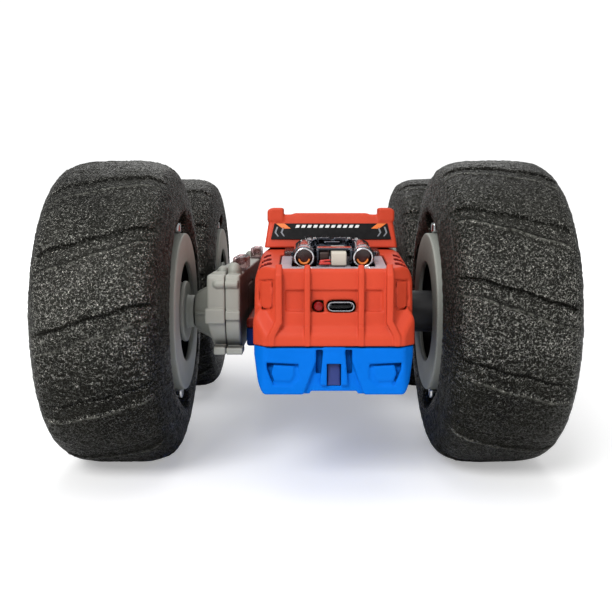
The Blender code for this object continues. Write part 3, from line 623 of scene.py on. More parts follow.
RED = moulded("red_plastic", (207, 70, 43), rough=0.48, spec=0.20)
BLUE = moulded("blue_plastic", (0, 112, 220), rough=0.50, edge=0.04, spec=0.04)
GREY = moulded("grey_plastic", (163, 165, 156), rough=0.45, grain=0.06, spec=0.4)
# darker red painted as shade inside the corner vents
RED_PAINTED_VENT_SHADE = moulded("red_plastic_painted_shade_in_vents", (112, 18, 14), rough=0.6, spec=0.1)
# darker red and blue painted as shade on the sill under the swing arm
RED_PAINTED_SHADE = moulded("red_plastic_painted_shade_under_arm", (110, 28, 20), rough=0.6, spec=0.1)
BLUE_PAINTED_SHADE = moulded("blue_plastic_painted_shade_under_arm", (12, 36, 92), rough=0.6, spec=0.04)
SHADE = moulded("unlit_plastic", (46, 47, 45), rough=0.6, spec=0.15)
RING = moulded("ring_plastic", (170, 173, 165), rough=0.50, grain=0.06, spec=0.35)
DARK = moulded("dark_plastic", (34, 34, 36), rough=0.42, var=0.12, grain=0.08)
CREAM = moulded("cream_plastic", (206, 198, 184), rough=0.5, var=0.04)
NYLON = moulded("nylon", (228, 224, 214), rough=0.45, var=0.03, sub=0.1)
CHROME = smoked_chrome()
BRIGHT = metal("bright_chrome", (225, 228, 232), rough=0.09)
SILVER = metal("silver_plating", (206, 208, 210), rough=0.24)
STEEL = metal("plain_steel", (182, 182, 184), rough=0.32, brushed=True)
FOAM = foam_skin()
ROSE = clear("rose_clear", (0.80, 0.66, 0.66, 1.0), blend=0.5, haze=0.14)
GLASSY = clear("clear_cover", (0.86, 0.88, 0.89, 1.0), blend=0.28, haze=0.24)
ORANGE = moulded("orange_print", (240, 120, 38), rough=0.35, grain=0.02)
# a glowing arc painted in as the orange glint inside each drum
PAINTED_GLINT = moulded("amber_painted_glint", (250, 150, 70), rough=0.3, grain=0.02,
                glow=((240, 120, 50), 0.35))
CHEVRON = moulded("grey_print", (126, 130, 136), rough=0.35, grain=0.02)
BLACK = moulded("black_print", (12, 11, 13), rough=0.45, var=0.15, grain=0.02, spec=0.12)
WINE = moulded("dark_red_plastic", (96, 20, 16), rough=0.3, var=0.1, grain=0.03, coat=0.5)
BROWN = moulded("brown_plastic", (52, 30, 24), rough=0.4, var=0.1, grain=0.04)
PAPER = moulded("white_print", (232, 232, 230), rough=0.4, var=0.03, grain=0.02)
LILAC = moulded("label_film", (196, 186, 194), rough=0.24, var=0.04, grain=0.02, coat=0.4)
WIRE_RED = moulded("red_wire", (196, 44, 32), rough=0.35, grain=0.03)
LENS = moulded("red_lens", (132, 5, 9), rough=0.16, var=0.1, grain=0.0, spec=0.35)
BOARD = moulded("solder_mask", (22, 96, 52), rough=0.3, var=0.12, coat=0.3)
CELL = moulded("shrink_film", (46, 78, 140), rough=0.25, var=0.06, coat=0.4)
PORT = port_steel()
PITCH = moulded("black_plastic", (10, 10, 11), rough=0.5, var=0.1, grain=0.03, spec=0.2)
WINDOW = moulded("blue_window", (34, 52, 120), rough=0.5)


# ------------------------------------------------------------------ upper shell
# In the shell fields, mid is the signed distance from the middle plane, side its size,
# and end the distance from the car's middle towards either end.
CORNER_PANEL = [  # (side, z)
    (20.6, 76.4), (25.0, 76.0), (25.0, 68.2), (24.0, 66.8), (21.4, 66.6), (20.6, 68.0)]
FLANK_PANELS = ((-52.0, 17.0), (0.0, 24.0), (52.0, 17.0))  # (centre y, half length)


def corner_facet(side, end, z):
    """Slanted plane across the shell's corners."""
    return 0.640 * side + 0.768 * end - 110.35 + 0.04 * (z - 66.0)


def body_planes(side, end, z):
    """Outside of the red body."""
    form = meet(z - DECK, (z - NOSE_TOP - HOOD_SLOPE * (END_Y - end)) * 0.9896, 1.2)
    form = meet(form, end - END_Y, 1.3)
    form = meet(form, side - (27.35 - 0.018 * (z - 55.0)), 1.0)
    top = np.minimum(DECK, NOSE_TOP + HOOD_SLOPE * (END_Y - end))
    form = meet(form, 0.75 * (side - 25.0) + 0.66 * (z - top + 0.8), 2.2)
    return meet(form, corner_facet(side, end, z), 1.0)


def band_planes(side, end, z):
    """Proud band along the foot of the end faces."""
    form = meet(end - 129.4, 0.855 * end + 0.518 * z - 140.79, 0.8)
    form = meet(form, 0.740 * side + 0.673 * end - 104.35, 1.0)
    form = meet(form, side - 27.45, 0.8)
    form = meet(form, 110.0 - end, 0.4)
    return meet(form, 0.85 * side + 0.518 * z - 56.2, 0.9)


def corner_vents(side, end, z):
    """The three vents in each corner of the sloping decks, growing towards the ends."""
    for station in VENT_STATIONS:
        top = NOSE_TOP + HOOD_SLOPE * (END_Y - station)
        half = (1.7 + 0.06 * (station - 110.6), 2.1, 2.6)
        yield block(side, end, z, (23.4, station, top - 1.4), half, 0.7)


def end_ribs(side, end, z):
    """Ribs on the end faces: an upright pair, and a cranked pair outside them."""
    top = z - 80.3 + 0.9 * (end - 128.2)
    depth = np.maximum(end - 129.9, 126.0 - end)
    upright = meet(np.maximum(np.abs(side - 9.0) - 1.0, depth), top, 0.6)
    upright = meet(upright, end - 129.0 - 0.9 * (z < 61.5), 0.3)
    cranked = np.minimum(np.maximum(np.abs(side - 18.5) - 1.15, 62.0 - z),
                         np.minimum(flat_bar(side, z, (18.5, 62.9), (21.0, 57.9), 1.1),
                                    np.maximum(np.abs(side - 21.0) - 1.15, z - 58.4)))
    cranked = meet(np.maximum(cranked, depth), top, 0.6)
    return np.minimum(upright, cranked)


def carve_axle_openings(form, mid, end, z):
    """Axle holes in the left flank and the pivot hole in the right one."""
    axle = np.sqrt((end - AXLE_Y) ** 2 + (z - AXLE_Z) ** 2)
    form = carve(form, np.maximum(axle - 9.05, 15.0 - mid))
    pivot = np.sqrt(end ** 2 + (z - AXLE_Z) ** 2)
    return carve(form, np.maximum(pivot - 9.4, mid + 15.0))


def upper_shell(x, y, z):
    mid, end = x - BODY_X, np.abs(y)
    side = np.abs(mid)
    form = body_planes(side, end, z)
    # shallow rounded recess across the face, cut before the ribs are added
    form = carve(form, block(mid, end, z, (0, 128.3, 69.8), (16.5, 1.75, 3.7), 1.0), 0.25)
    form = join(form, band_planes(side, end, z), 0.35)
    # outlined panels on the corner facets
    groove = np.abs(polygon(side, z, CORNER_PANEL) - 0.1) - 0.3
    form = carve(form, np.maximum(groove, np.abs(corner_facet(side, end, z)) - 0.6), 0.2)
    form = join(form, end_ribs(side, end, z), 0.18)
    # side sills
    form = join(form, block(side, end, z, (28.6, 0, 54.0), (4.15, 83.0, 4.4), 1.1), 0.8)
    # panel lines along the flanks
    flank = np.abs(side - 26.6) - 0.55
    for centre, half in FLANK_PANELS:
        panel = block(0 * side, y, z, (0, centre, 69.4), (9, half, 3.6), 1.2)
        form = carve(form, np.maximum(np.abs(panel) - 0.35, flank), 0.25)
    # tail deck: outlined lid with five slots across
    lid = block(mid, y, 0 * z, (0, 66.0, 0), (17.0, 38.0, 9), 3.0)
    form = carve(form, np.maximum(np.abs(lid) - 0.4, np.abs(z - DECK) - 0.6), 0.25)
    for k in range(5):
        slot = block(mid, y, z, (0, 46.0 + 7.5 * k, DECK), (11.5, 1.5, 0.9), 0.7)
        form = carve(form, slot, 0.3)
    for vent in corner_vents(side, end, z):
        form = carve(form, vent, 0.15)
    form = meet(form, SPLIT + 0.12 - z, 0.35)
    # hollow
    form = carve(form, body_planes(side + 1.9, end + 2.2, z + 1.8))
    # hood opening and the bay behind it
    form = carve(form, block(mid, y, z, (0, -113.5, 84.0), (18.5, 12.5, 8.6), 2.0), 0.5)
    form = carve(form, block(mid, y, z, (0, -98.4, 84.0), (10.9, 6.6, 8.6), 0.8), 0.3)
    # port and lamp openings in the front face
    port = to_segment(mid, z, (-0.55, PORT_Z), (5.35, PORT_Z)) - 2.0
    form = carve(form, np.maximum(port, y + 118.0), 0.2)
    lamp = np.maximum(to_segment(mid, z, (-5.5, PORT_Z), (-3.0, PORT_Z)) - 1.95, mid + 3.55)
    form = carve(form, np.maximum(lamp, y + 118.0), 0.2)
    return carve_axle_openings(form, mid, end, z)


def in_vents(centre, normal):
    vents = corner_vents(np.abs(centre[0] - BODY_X), np.abs(centre[1]), centre[2])
    return np.any([vent < 0.12 for vent in vents], axis=0)


def beside_arm(centre, normal):
    """Forward-facing faces of the sill on the swing arm's side, which take painted shade."""
    return (centre[0] < BODY_X - 27.8) & (normal[1] < -0.4)


shell_xs = ticks((*around(BODY_X, 33.8), STEP))
shell_ys = ticks((-131.2, -86.0, STEP), (-86.0, 112.0, pick(1.2)),
                 (112.0, 131.2, pick(0.6)))
upper = mould("upper_shell_moulding", upper_shell,
              (shell_xs, shell_ys, ticks((SPLIT - 1.4, 87.2, STEP))),
              "chassis", "red_plastic", RED, "upper_shell")
# faces inside the corner vents take a darker red as painted shade
recolour(upper, RED_PAINTED_VENT_SHADE, in_vents)
# the sill's front faces under the arm take a darker red as painted shade
recolour(upper, RED_PAINTED_SHADE, beside_arm)


# ------------------------------------------------------------------ lower shell
POCKET = [  # (side, z)
    (12.0, 48.4), (22.7, 48.9), (22.5, 46.6), (21.4, 43.6), (20.4, 41.2), (14.2, 41.0),
    (11.9, 43.6)]
PAD = [  # (side, z)
    (13.0, 48.0), (20.5, 48.4), (21.4, 45.2), (20.3, 42.3), (14.6, 42.0), (13.1, 44.6)]


def nose_line(z):
    """How far the end faces reach at a height."""
    return 129.2 - np.clip(56.6 - z, 0, 20) * 0.10


def hull_planes(side, end, z):
    """Outside of the blue hull."""
    form = meet(FLOOR_Z - z, end - nose_line(z), 1.0)
    form = meet(form, side - (27.2 - np.clip(51 - z, 0, 20) * 0.13), 1.0)
    form = meet(form, 0.760 * side + 0.650 * end - 101.6 + 0.04 * (55.0 - z), 1.2)
    return meet(form, (side - 24.3) * 0.86 + (FLOOR_Z - z) * 0.50, 1.2)


def lower_shell(x, y, z):
    mid, end = x - BODY_X, np.abs(y)
    side = np.abs(mid)
    form = hull_planes(side, end, z)
    front = nose_line(z)
    # shallow step under the red shell's overhang
    form = carve(form, np.maximum(np.abs(z - 54.6) - 0.5, front - 0.7 - end), 0.4)
    # middle channel with a slot each side of the tongue
    channel = np.maximum(side - (5.9 + np.clip(49.5 - z, 0, 20) * 0.36),
                         np.maximum(z - 53.0, front - 1.7 - end))
    form = carve(form, channel, 0.9)
    slot = np.maximum(np.abs(side - 4.9 - np.clip(50.0 - z, 0, 20) * 0.07) - 0.9,
                      np.maximum(np.abs(z - 49.2) - 4.1, front - 3.4 - end))
    form = carve(form, slot, 0.6)
    tongue = np.maximum(side - (3.65 + np.clip(53.5 - z, 0, 20) * 0.09), end - front + 0.1)
    tongue = meet(tongue, front - 5.0 - end, 0.3)
    tongue = meet(tongue, 40.9 - z, 0.8)
    tongue = meet(tongue, z - 56.6, 0.3)
    form = join(form, tongue, 0.35)
    window = np.maximum(np.maximum(side - 2.4, np.abs(z - 44.6) - 3.9), front - 3.0 - end)
    form = carve(form, window, 0.25)
    # raised pads standing in pockets that deepen outward and upward
    depth = 0.45 + 1.5 * np.clip((side - 19.6) / 2.0, 0, 1) + 1.1 * np.clip((z - 46.8) / 1.4, 0, 1)
    form = carve(form, np.maximum(polygon(side, z, POCKET), np.abs(end - front) - depth), 0.7)
    pad = meet(polygon(side, z, PAD) + 0.2, end - front - 0.1, 0.9)
    form = join(form, meet(pad, front - 6.0 - end, 0.3), 0.5)
    # notch under the middle of each end
    form = carve(form, block(mid, end, z, (0, 124.0, 36.4), (8.0, 9.0, 2.3), 0.6), 0.5)
    # side sills
    form = join(form, block(side, y, z, (28.6, 0, 52.8), (4.15, 83.0, 5.4), 1.1), 0.8)
    # long outline grooved into the floor
    outline = np.abs(block(mid, y, z, (0, 0, FLOOR_Z), (17.0, 96.0, 4.0), 3.5)) - 0.4
    form = carve(form, np.maximum(outline, np.abs(z - FLOOR_Z) - 0.6), 0.3)
    # screw recesses, and a slot through the floor
    boss = np.sqrt((side - BOSS_X) ** 2 + (end - BOSS_Y) ** 2)
    recess = np.maximum(boss - 2.9, z - 41.4)
    form = carve(form, recess)
    floor_slot = np.maximum(np.abs(mid + 10.3) - 1.7, np.abs(y + 38.5) - 5.1)
    form = carve(form, np.maximum(floor_slot, z - 44.0))
    form = meet(form, z - SPLIT + 0.12, 0.35)
    # hollow, with the bosses left standing in it and then bored
    hollow = hull_planes(side + 1.9, end + 4.6, z - 1.9)
    hollow = np.maximum(hollow, side - 24.6)
    hollow = carve(hollow, np.maximum(boss - 3.7, z - 49.6))
    form = carve(form, hollow)
    form = carve(form, boss - 1.5)
    form = carve(form, recess)
    return carve_axle_openings(form, mid, end, z)


lower = mould("lower_shell_moulding", lower_shell,
              (shell_xs, shell_ys, ticks((36.4, SPLIT + 1.2, STEP))),
              "chassis", "blue_plastic", BLUE, "lower_shell")
# the sill's front faces under the arm take a darker blue as painted shade
recolour(lower, BLUE_PAINTED_SHADE, beside_arm)


# ------------------------------------------------------------------ cab
FRONT_WINDOW = [(-80.0, 95.4), (-52.0, 95.2), (-48.0, 89.6), (-83.0, 89.6)]  # (y, z)
REAR_WINDOW = [(-45.0, 94.8), (-30.0, 94.2), (-14.0, 90.6), (-41.5, 89.6)]   # (y, z)


def roof_height(y):
    return np.minimum(98.75 - 0.0151 * (y - SCREEN_HEAD_Y), 97.8 - (y + 34.0) * 0.215)


def cab_flank(z):
    """Half width of the cab at a height."""
    return 25.2 - (z - CAB_Z) * 0.151


def cab_planes(side, y, z):
    """Outside of the cab: leaning windscreen, flanks, crowned roof, tail."""
    lean = SCREEN_RUN / SCREEN_RISE
    form = (-(y - SCREEN_FOOT_Y) + lean * (z - CAB_Z)) * (1 / math.hypot(1, lean))
    form = meet(form, side - cab_flank(z), 1.3)
    top = roof_height(y) + 0.55 / (1 + np.exp((side - 14.3) / 0.35))
    form = meet(form, (z - top) * 0.985, 1.0)
    return meet(form, y - 6.0, 1.2)


def cab_shell(x, y, z):
    mid = x - BODY_X
    side = np.abs(mid)
    form = cab_planes(side, y, z)
    # side windows sunk into the flanks
    flank = np.abs(side - cab_flank(z)) - 0.75
    for outline in (FRONT_WINDOW, REAR_WINDOW):
        form = carve(form, np.maximum(polygon(y, z, outline), flank), 0.4)
    # outlined hatch on the roof, and bars across its fall
    hatch = np.abs(block(mid, y, 0 * z, (0, -58.0, 0), (13.0, 17.0, 9), 2.5)) - 0.35
    form = carve(form, np.maximum(hatch, np.abs(z - roof_height(y)) - 0.6), 0.3)
    for k in range(4):
        centre = (0, -20.0 + 6.0 * k, 94.6 - 1.32 * k)
        form = carve(form, block(mid, y, z, centre, (10.0, 1.3, 1.2), 0.7), 0.3)
    # hollow, open underneath
    form = carve(form, np.maximum(cab_planes(side + 1.7, y - 1.7, z + 1.7), y - 4.3))
    form = meet(form, 86.15 - z, 0.3)
    # ears on the roof's front corners
    ear = block(side, y, z, (21.0, -84.9, 98.6), (3.1, 3.3, 2.65), 0.8)
    ear = meet(ear, (side - 23.4) * 0.55 + (z - 100.7) * 0.83, 0.6)
    return join(form, ear, 0.7)


cab_grid = (ticks((*around(BODY_X, 26.6), STEP)),
            ticks((-92.0, -78.0, STEP), (-78.0, 7.4, pick(0.9))),
            ticks((85.2, 102.4, STEP)))
mould("cab_moulding", cab_shell, cab_grid, "chassis", "red_plastic", RED, "cab")


# ------------------------------------------------------------------ swing arm
def arm_side(end, z):
    """Side outline of the arm: flat top, big round lower corners."""
    form = meet(z - ARM_TOP, end - ARM_END, 2.4)
    low = np.sqrt(np.maximum(end - (ARM_END - ARM_CORNER_R), 0) ** 2
                  + np.maximum(60.5 - z, 0) ** 2) - ARM_CORNER_R
    return meet(form, low, 0.8)


def arm_cavity(end, z):
    return np.sqrt(np.maximum(end - AXLE_Y, 0) ** 2 + (z - AXLE_Z) ** 2) - ARM_CAVITY_R


def arm_outer(x, y, z):
    end = np.abs(y)
    leaning_face = ARM_OUT - x + 0.23 * np.clip(56.5 - z, 0, 14)
    form = meet(arm_side(end, z), leaning_face, 0.9)
    # proud belt round the end and along the flank
    belt = meet(end - ARM_END - 0.75, np.abs(z - 60.0) - 2.9, 0.3)
    form = join(form, meet(belt, ARM_OUT - 0.8 - x, 0.4), 0.15)
    # round-ended barrels at the upper corners, and feet at the lower ones
    barrel = np.sqrt(np.maximum(-34.0 - x, 0) ** 2 + (end - 89.1) ** 2 + (z - 72.2) ** 2) - 1.6
    form = join(form, barrel, 0.2)
    form = join(form, block(x, end, z, (-33.2, 84.6, 46.4), (2.4, 4.2, 1.5), 0.3), 0.4)
    # conical noses round the axles, each with four webs
    axle = np.sqrt((end - AXLE_Y) ** 2 + (z - AXLE_Z) ** 2)
    out = -x
    cone = axle - taper(out, [36.0, 37.9, 43.6, 44.2], [11.0, 10.5, 7.2, 6.9])
    form = join(form, meet(cone, out - 44.2, 0.4), 0.6)
    for k in range(4):
        cos, sin = math.cos(k * math.pi / 2), math.sin(k * math.pi / 2)
        radial = (end - AXLE_Y) * cos + (z - AXLE_Z) * sin
        sideways = -(end - AXLE_Y) * sin + (z - AXLE_Z) * cos
        web = np.maximum(np.abs(sideways) - 0.55, radial - taper(out, [37, 43.8], [11.6, 7.9]))
        form = join(form, np.maximum(web, np.maximum(-radial, out - 43.9)), 0.3)
    # bosses and low blocks on top
    for centre in (-75.4, 75.4):
        boss = np.sqrt((x + 33.0) ** 2 + (y - centre) ** 2 + (z - 75.4) ** 2 * 0.6) - 2.5
        form = join(form, meet(boss, 70.0 - z, 0.5), 0.3)
    form = join(form, block(x, end, z, (-33.9, 80.6, 75.6), (2.6, 2.0, 0.9), 0.5), 0.4)
    # long recessed panel between the wheels
    panel = block(0 * x, y, z, (0, 0, 59.7), (9, 44.0, 2.2), 1.5)
    form = carve(form, np.maximum(panel, np.abs(x - ARM_OUT + 0.5) - 0.9), 0.4)
    form = meet(form, x - ARM_SPLIT + 0.12, 0.3)
    form = carve(form, np.maximum(arm_cavity(end, z), ARM_OUT + ARM_WALL - x))
    form = carve(form, axle - 2.12)
    # pins standing in the cavity
    for centre in (24.0, 48.0):
        pin = np.sqrt((end - centre) ** 2 + (z - AXLE_Z) ** 2) - 1.5
        form = np.minimum(form, np.maximum(pin, np.maximum(x + 28.5, ARM_OUT + 0.6 - x)))
    # stepped screw holes
    hole = np.sqrt((end - ARM_SCREW_Y) ** 2 + (z - ARM_SCREW_Z) ** 2)
    form = carve(form, np.maximum(hole - 2.15, x + 36.5))
    return carve(form, np.maximum(hole - 1.35, x + 20))


def arm_inner(x, y, z):
    end = np.abs(y)
    form = meet(arm_side(end, z), x - ARM_IN, 1.2)
    belt = meet(end - ARM_END - 0.7, np.abs(z - 60.2) - 1.8, 0.3)
    form = join(form, meet(belt, x - ARM_IN + 0.1, 0.4), 0.15)
    # barrels, feet and domes matching the outer half
    barrel = np.sqrt((end - 89.1) ** 2 + (z - 72.2) ** 2) - 1.6
    form = join(form, np.maximum(barrel, x + 25.9), 0.2)
    form = join(form, block(x, end, z, (-27.6, 84.6, 46.2), (3.3, 4.2, 1.3), 0.3), 0.3)
    for centre in (-78.4, 78.4):
        dome = np.sqrt((x + 28.2) ** 2 + (y - centre) ** 2 + (z - 76.0) ** 2 * 0.55) - 2.95
        form = join(form, meet(dome, 70.0 - z, 0.5), 0.3)
    # outlined panels on the inner face
    for centre in (-30.0, 30.0):
        panel = block(0 * x, y, z, (0, centre, 60.2), (9, 15.0, 8.5), 3.0)
        form = carve(form, np.maximum(np.abs(panel) - 0.4, np.abs(x - ARM_IN) - 0.6), 0.3)
    form = meet(form, ARM_SPLIT + 0.12 - x, 0.3)
    form = carve(form, np.maximum(arm_cavity(end, z), x - ARM_IN + ARM_WALL))
    form = carve(form, np.sqrt(y ** 2 + (z - AXLE_Z) ** 2) - 5.15)
    hole = np.sqrt((end - ARM_SCREW_Y) ** 2 + (z - ARM_SCREW_Z) ** 2) - 1.35
    return carve(form, np.maximum(hole, x + 26.4))


arm_ys = ticks((-91.0, -58.0, STEP), (-58.0, 58.0, pick(1.3)), (58.0, 91.0, STEP * 1.3))
arm_zs = ticks((43.4, 81.4, STEP))
mould("arm_outer_moulding", arm_outer, (ticks((-45.6, -27.8, STEP)), arm_ys, arm_zs),
      "right_arm", "grey_plastic", GREY, "right_arm_outer_half")
mould("arm_inner_moulding", arm_inner, (ticks((-31.6, -24.2, STEP * 0.9)), arm_ys, arm_zs),
      "right_arm", "grey_plastic", GREY, "right_arm_inner_half")


# ------------------------------------------------------------------ tyres
# lower side walls of the tyre section, (radius, |x|)
INNER_WALL = [(TYRE_BORE, 52.2), (33.4, 51.2), (35.2, 50.1), (37.0, 49.2), (39.0, 48.5),
              (41.5, 47.9)]
OUTER_WALL = [(41.0, 95.35), (38.0, 95.0), (35.0, 94.3), (33.0, 93.4), (TYRE_BORE, 92.0)]


def tyre_profile(count):
    """Evenly spaced (radius, |x|) points round the section, from the outer bore edge."""
    across = np.linspace(-1, 1, 900)
    across = np.sign(across) * np.sin(np.abs(across) * math.pi / 2)
    fall = np.where(across < 0, 36.0, 18.0)
    crown = np.maximum(0, 1 - np.abs(across) ** 3.8) ** (1 / 3.8)
    radius = TYRE_R - fall * (1 - crown)
    place_x = TYRE_MID + across * TYRE_HALF
    tuck = 1.5 * np.clip((57.0 - radius) / 8.0, 0, 1)
    place_x = np.where(across < 0, place_x + tuck, place_x)
    bore = [(TYRE_BORE, x) for x in np.linspace(92.0, 52.2, 60)]
    tread = [point for point in zip(radius, place_x) if point[0] > 43.5]
    points = np.array(bore + INNER_WALL + tread + OUTER_WALL)
    lengths = np.linalg.norm(np.roll(points, -1, 0) - points, axis=1)
    travelled = np.concatenate([[0], np.cumsum(lengths)])
    stations = np.linspace(0, travelled[-1], count, endpoint=False)
    closed = np.vstack([points, points[:1]])
    return np.stack([np.interp(stations, travelled, closed[:, n]) for n in range(2)], 1)


def value_noise(row, column, period, seed):
    """Smooth repeatable noise from -1 to 1, wrapping along the rows after the period."""
    table = np.random.default_rng(seed).uniform(-1, 1, (period, 512))
    i, j = np.floor(row).astype(int), np.floor(column).astype(int)
    down, over = row - i, column - j
    down, over = down * down * (3 - 2 * down), over * over * (3 - 2 * over)

    def knot(at_row, at_column):
        return table[at_row % period, at_column % 512]

    return (knot(i, j) * (1 - down) * (1 - over) + knot(i + 1, j) * down * (1 - over)
            + knot(i, j + 1) * (1 - down) * over + knot(i + 1, j + 1) * down * over)


def soft_step(offset, width):
    return 1 / (1 + np.exp(-offset / width))


def bell(offset, width):
    return np.exp(-(offset / width) ** 2)


def tyre(wheel, y, side, seed, turn):
    """Foam tyre; its tread attribute is 0 on painted shadow lines, 0.5 on plain foam, 1 on painted
    lip highlights.
    """
    rows, columns = pick(800), pick(150)
    section = tyre_profile(columns)
    angle = np.linspace(0, 2 * math.pi, rows, endpoint=False)[:, None]
    lap = angle / (2 * math.pi)
    radius, out = section[:, 0], section[:, 1]
    across = (out - TYRE_MID) / TYRE_HALF
    # outward normals of the section
    run = np.roll(section, -1, 0) - np.roll(section, 1, 0)
    length = np.hypot(run[:, 1], run[:, 0])
    normal_r, normal_x = run[:, 1] / length, -run[:, 0] / length

    # tread strips: bands across the crown, repeated round the tyre and slanting
    crown = np.clip((radius - 44.0) / 6.0, 0, 1)
    phase = ((angle + 0.135 * across) / (2 * math.pi) * TREAD_COUNT + turn) % 1.0
    wobble = 0.012 * np.sin(5 * angle + 3 * across) + 0.01 * np.sin(11 * across + 2 * angle)
    phase = phase + wobble
    width = 0.215 + 0.03 * across
    reach = soft_step(0.80 - np.abs(across - 0.03), 0.02)
    strip = soft_step(phase - 0.30, 0.010) - soft_step(phase - 0.30 - width, 0.010)
    groove = 0.40 * bell(phase - 0.29 - width, 0.018) - 0.3 * bell(phase - 0.275, 0.014)
    # broad unevenness on the crown, and fine grain everywhere but in the bore
    skin = 0.25 * value_noise(lap * 64, (across + 1) * 9, 64, seed) * crown
    grain = value_noise(lap * 380, np.arange(columns)[None, :] * 0.72, 380, seed + 7)
    off_bore = np.clip((radius - 34.0) / 4.0, 0, 1)
    depth = (0.55 * (strip * reach * crown) + groove * reach * crown
             + np.maximum(0, 0.25 + skin) * 0.45 + (0.16 + 0.16 * grain) * off_bore)
    new_radius, new_out = radius + depth * -normal_r * -1 * -1, out + depth * -normal_x * -1 * -1

    # six round notches open the inner side wall
    for k in range(6):
        turned = angle - k * math.pi / 3
        from_notch = radius * np.cos(turned) - 30.4
        notch = np.sqrt((radius * np.sin(turned) / 1.3) ** 2 + from_notch ** 2)
        dig = np.clip((9.0 - notch) / 0.8, 0, 1) * ((out < 60.0) & (radius < 45.0))
        new_out = new_out * (1 - dig) + np.maximum(59.0, new_out) * dig
    points = np.zeros((rows, columns, 3))
    points[..., 0] = side * new_out
    points[..., 1] = y + new_radius * np.sin(angle)
    points[..., 2] = AXLE_Z + new_radius * np.cos(angle)
    obj = torus_mesh(wheel + "_foam", points)

    # painted shadow along each strip's upper edge, and a broken painted highlight along its lower
    # lip
    cut = bell(phase - 0.295 - width, 0.026) + 0.55 * bell(phase - 0.312, 0.020)
    painted_lip_highlight = bell(phase - 0.272, 0.016)
    speckle = value_noise(lap * 30, (across + 1) * 70, 30, seed + 2)
    dots = np.clip(0.45 + 0.9 * speckle, 0, 1)
    mark = 0.5 + (-0.5 * np.clip(cut, 0, 1) + 0.5 * painted_lip_highlight * dots) * reach * crown
    layer = obj.data.attributes.new("tread", "FLOAT", "POINT")
    layer.data.foreach_set("value", mark.astype(np.float32).ravel())
    place(obj, wheel + "_wheel", "foam", FOAM, wheel + "_tyre")


# ------------------------------------------------------------------ rims and spokes
# rim sections as (radius, |x|): the hub differs from right to left, the rest is shared
RIGHT_HUB = [
    (AXLE_BORE, 44.6), (6.5, 44.6), (6.5, 47.7), (12.2, 47.7), (12.2, 49.2), (11.6, 49.6),
    (11.6, 50.4), (12.2, 50.8), (12.2, 57.6), (13.8, 58.0)]
LEFT_HUB = [(AXLE_BORE, 57.6), (13.8, 57.6)]
RIM = [
    (13.8, 62.4), (13.0, 62.8), (13.0, 63.6), (13.8, 64.0), (13.8, 80.0), (29.4, 80.0),
    (29.4, 49.8), (19.8, 49.8), (19.8, 47.9), (31.4, 47.9), (31.4, 91.0), (29.4, 91.0),
    (29.4, 82.6), (AXLE_BORE, 82.6)]
SPOKE_TIP_R = 33.6  # centre of the grids round the spoke tips


def rim(wheel, y, side):
    """Inner ring, barrel, hub tube, web and outer lip, with unlit plastic inside."""
    obj = spin(wheel + "_rim_moulding", (RIGHT_HUB if side < 0 else LEFT_HUB) + RIM,
               y, side, segments=128, radius=0.8)
    place(obj, wheel + "_wheel", "grey_plastic", RING, wheel + "_rim")
    obj.data.materials.append(SHADE)
    for face in obj.data.polygons:
        centre = face.center / MM
        radius = math.hypot(centre[1] - y, centre[2] - AXLE_Z)
        if 50.2 < abs(centre[0]) < 82.0 and 12.3 < radius < 29.6:
            face.material_index = 1


def spoke_disc(x, y, z, axle_y, side):
    """Six grooved spokes round a capped hub."""
    across, up, out = y - axle_y, z - AXLE_Z, x * side
    radius = np.sqrt(across * across + up * up)
    angle = np.arctan2(across, up)
    fold = np.abs((angle / (math.pi / 3) + 0.5) % 1.0 - 0.5) * (math.pi / 3)
    sideways, radial = radius * np.sin(fold), radius * np.cos(fold)
    half = taper(radial, [8.0, 14.0, 20.0, 26.0, 30.0], [6.2, 4.2, 3.6, 4.6, 6.8])
    form = join(meet(sideways - half, radial - 30.0, 0.8), radius - 9.0, 1.6)
    form = meet(form, radius - 29.0, 0.5)
    crown = (86.0 - 0.05 * np.maximum(radius - 9.0, 0)
             + 0.25 * np.cos(np.clip(sideways / 4.0, -1, 1) * 1.5))
    form = meet(form, out - crown, 0.7)
    ends = np.maximum(12.0 - radial, np.maximum(radial - 25.5, 85.0 - out))
    form = carve(form, np.maximum(np.abs(sideways) - 0.9, ends), 0.5)
    cap = np.abs(radius - 6.2) - 0.45
    form = carve(form, np.maximum(cap, 85.2 - out), 0.3)
    form = meet(form, 83.0 - out, 0.3)
    return meet(form, AXLE_BORE - radius, 0.2)


def spoke_tip(x, y, z, axle_y, side, angle):
    """Short block behind a notch of the tyre."""
    across, up = y - axle_y, z - AXLE_Z
    radial = across * math.sin(angle) + up * math.cos(angle)
    sideways = -across * math.cos(angle) + up * math.sin(angle)
    return block(radial, sideways, x * side, (33.5, 0, 53.2), (2.1, 2.3, 3.0), 0.9)


def spokes(wheel, y, side):
    body = wheel + "_wheel"
    grid = lattice(mirrored(side, 82.4, 87.2), around(y, 30.2), around(AXLE_Z, 30.2),
                   pick(0.5))
    mould(wheel + "_spokes", partial(spoke_disc, axle_y=y, side=side), grid,
          body, "silver", SILVER, wheel + "_spoke_disc", polish=3)
    for k in range(6):
        angle = k * math.pi / 3
        grid = lattice(mirrored(side, 49.4, 57.0),
                       around(y + SPOKE_TIP_R * math.sin(angle), 4.2),
                       around(AXLE_Z + SPOKE_TIP_R * math.cos(angle), 4.2), 0.6)
        mould("%s_spoke_tip_%d" % (wheel, k + 1),
              partial(spoke_tip, axle_y=y, side=side, angle=angle), grid,
              body, "silver", SILVER, polish=1)


WHEELS = (  # name, sign of x, axle y, noise seed, turn of the tread
    ("right_front", -1, -AXLE_Y, 11, 0.62),
    ("right_rear", -1, AXLE_Y, 14, 0.62),
    ("left_front", 1, -AXLE_Y, 17, 0.30),
    ("left_rear", 1, AXLE_Y, 20, 0.30),
)
for wheel, side, y, seed, turn in WHEELS:
    tyre(wheel, y, side, seed, turn)
    rim(wheel, y, side)
    spokes(wheel, y, side)


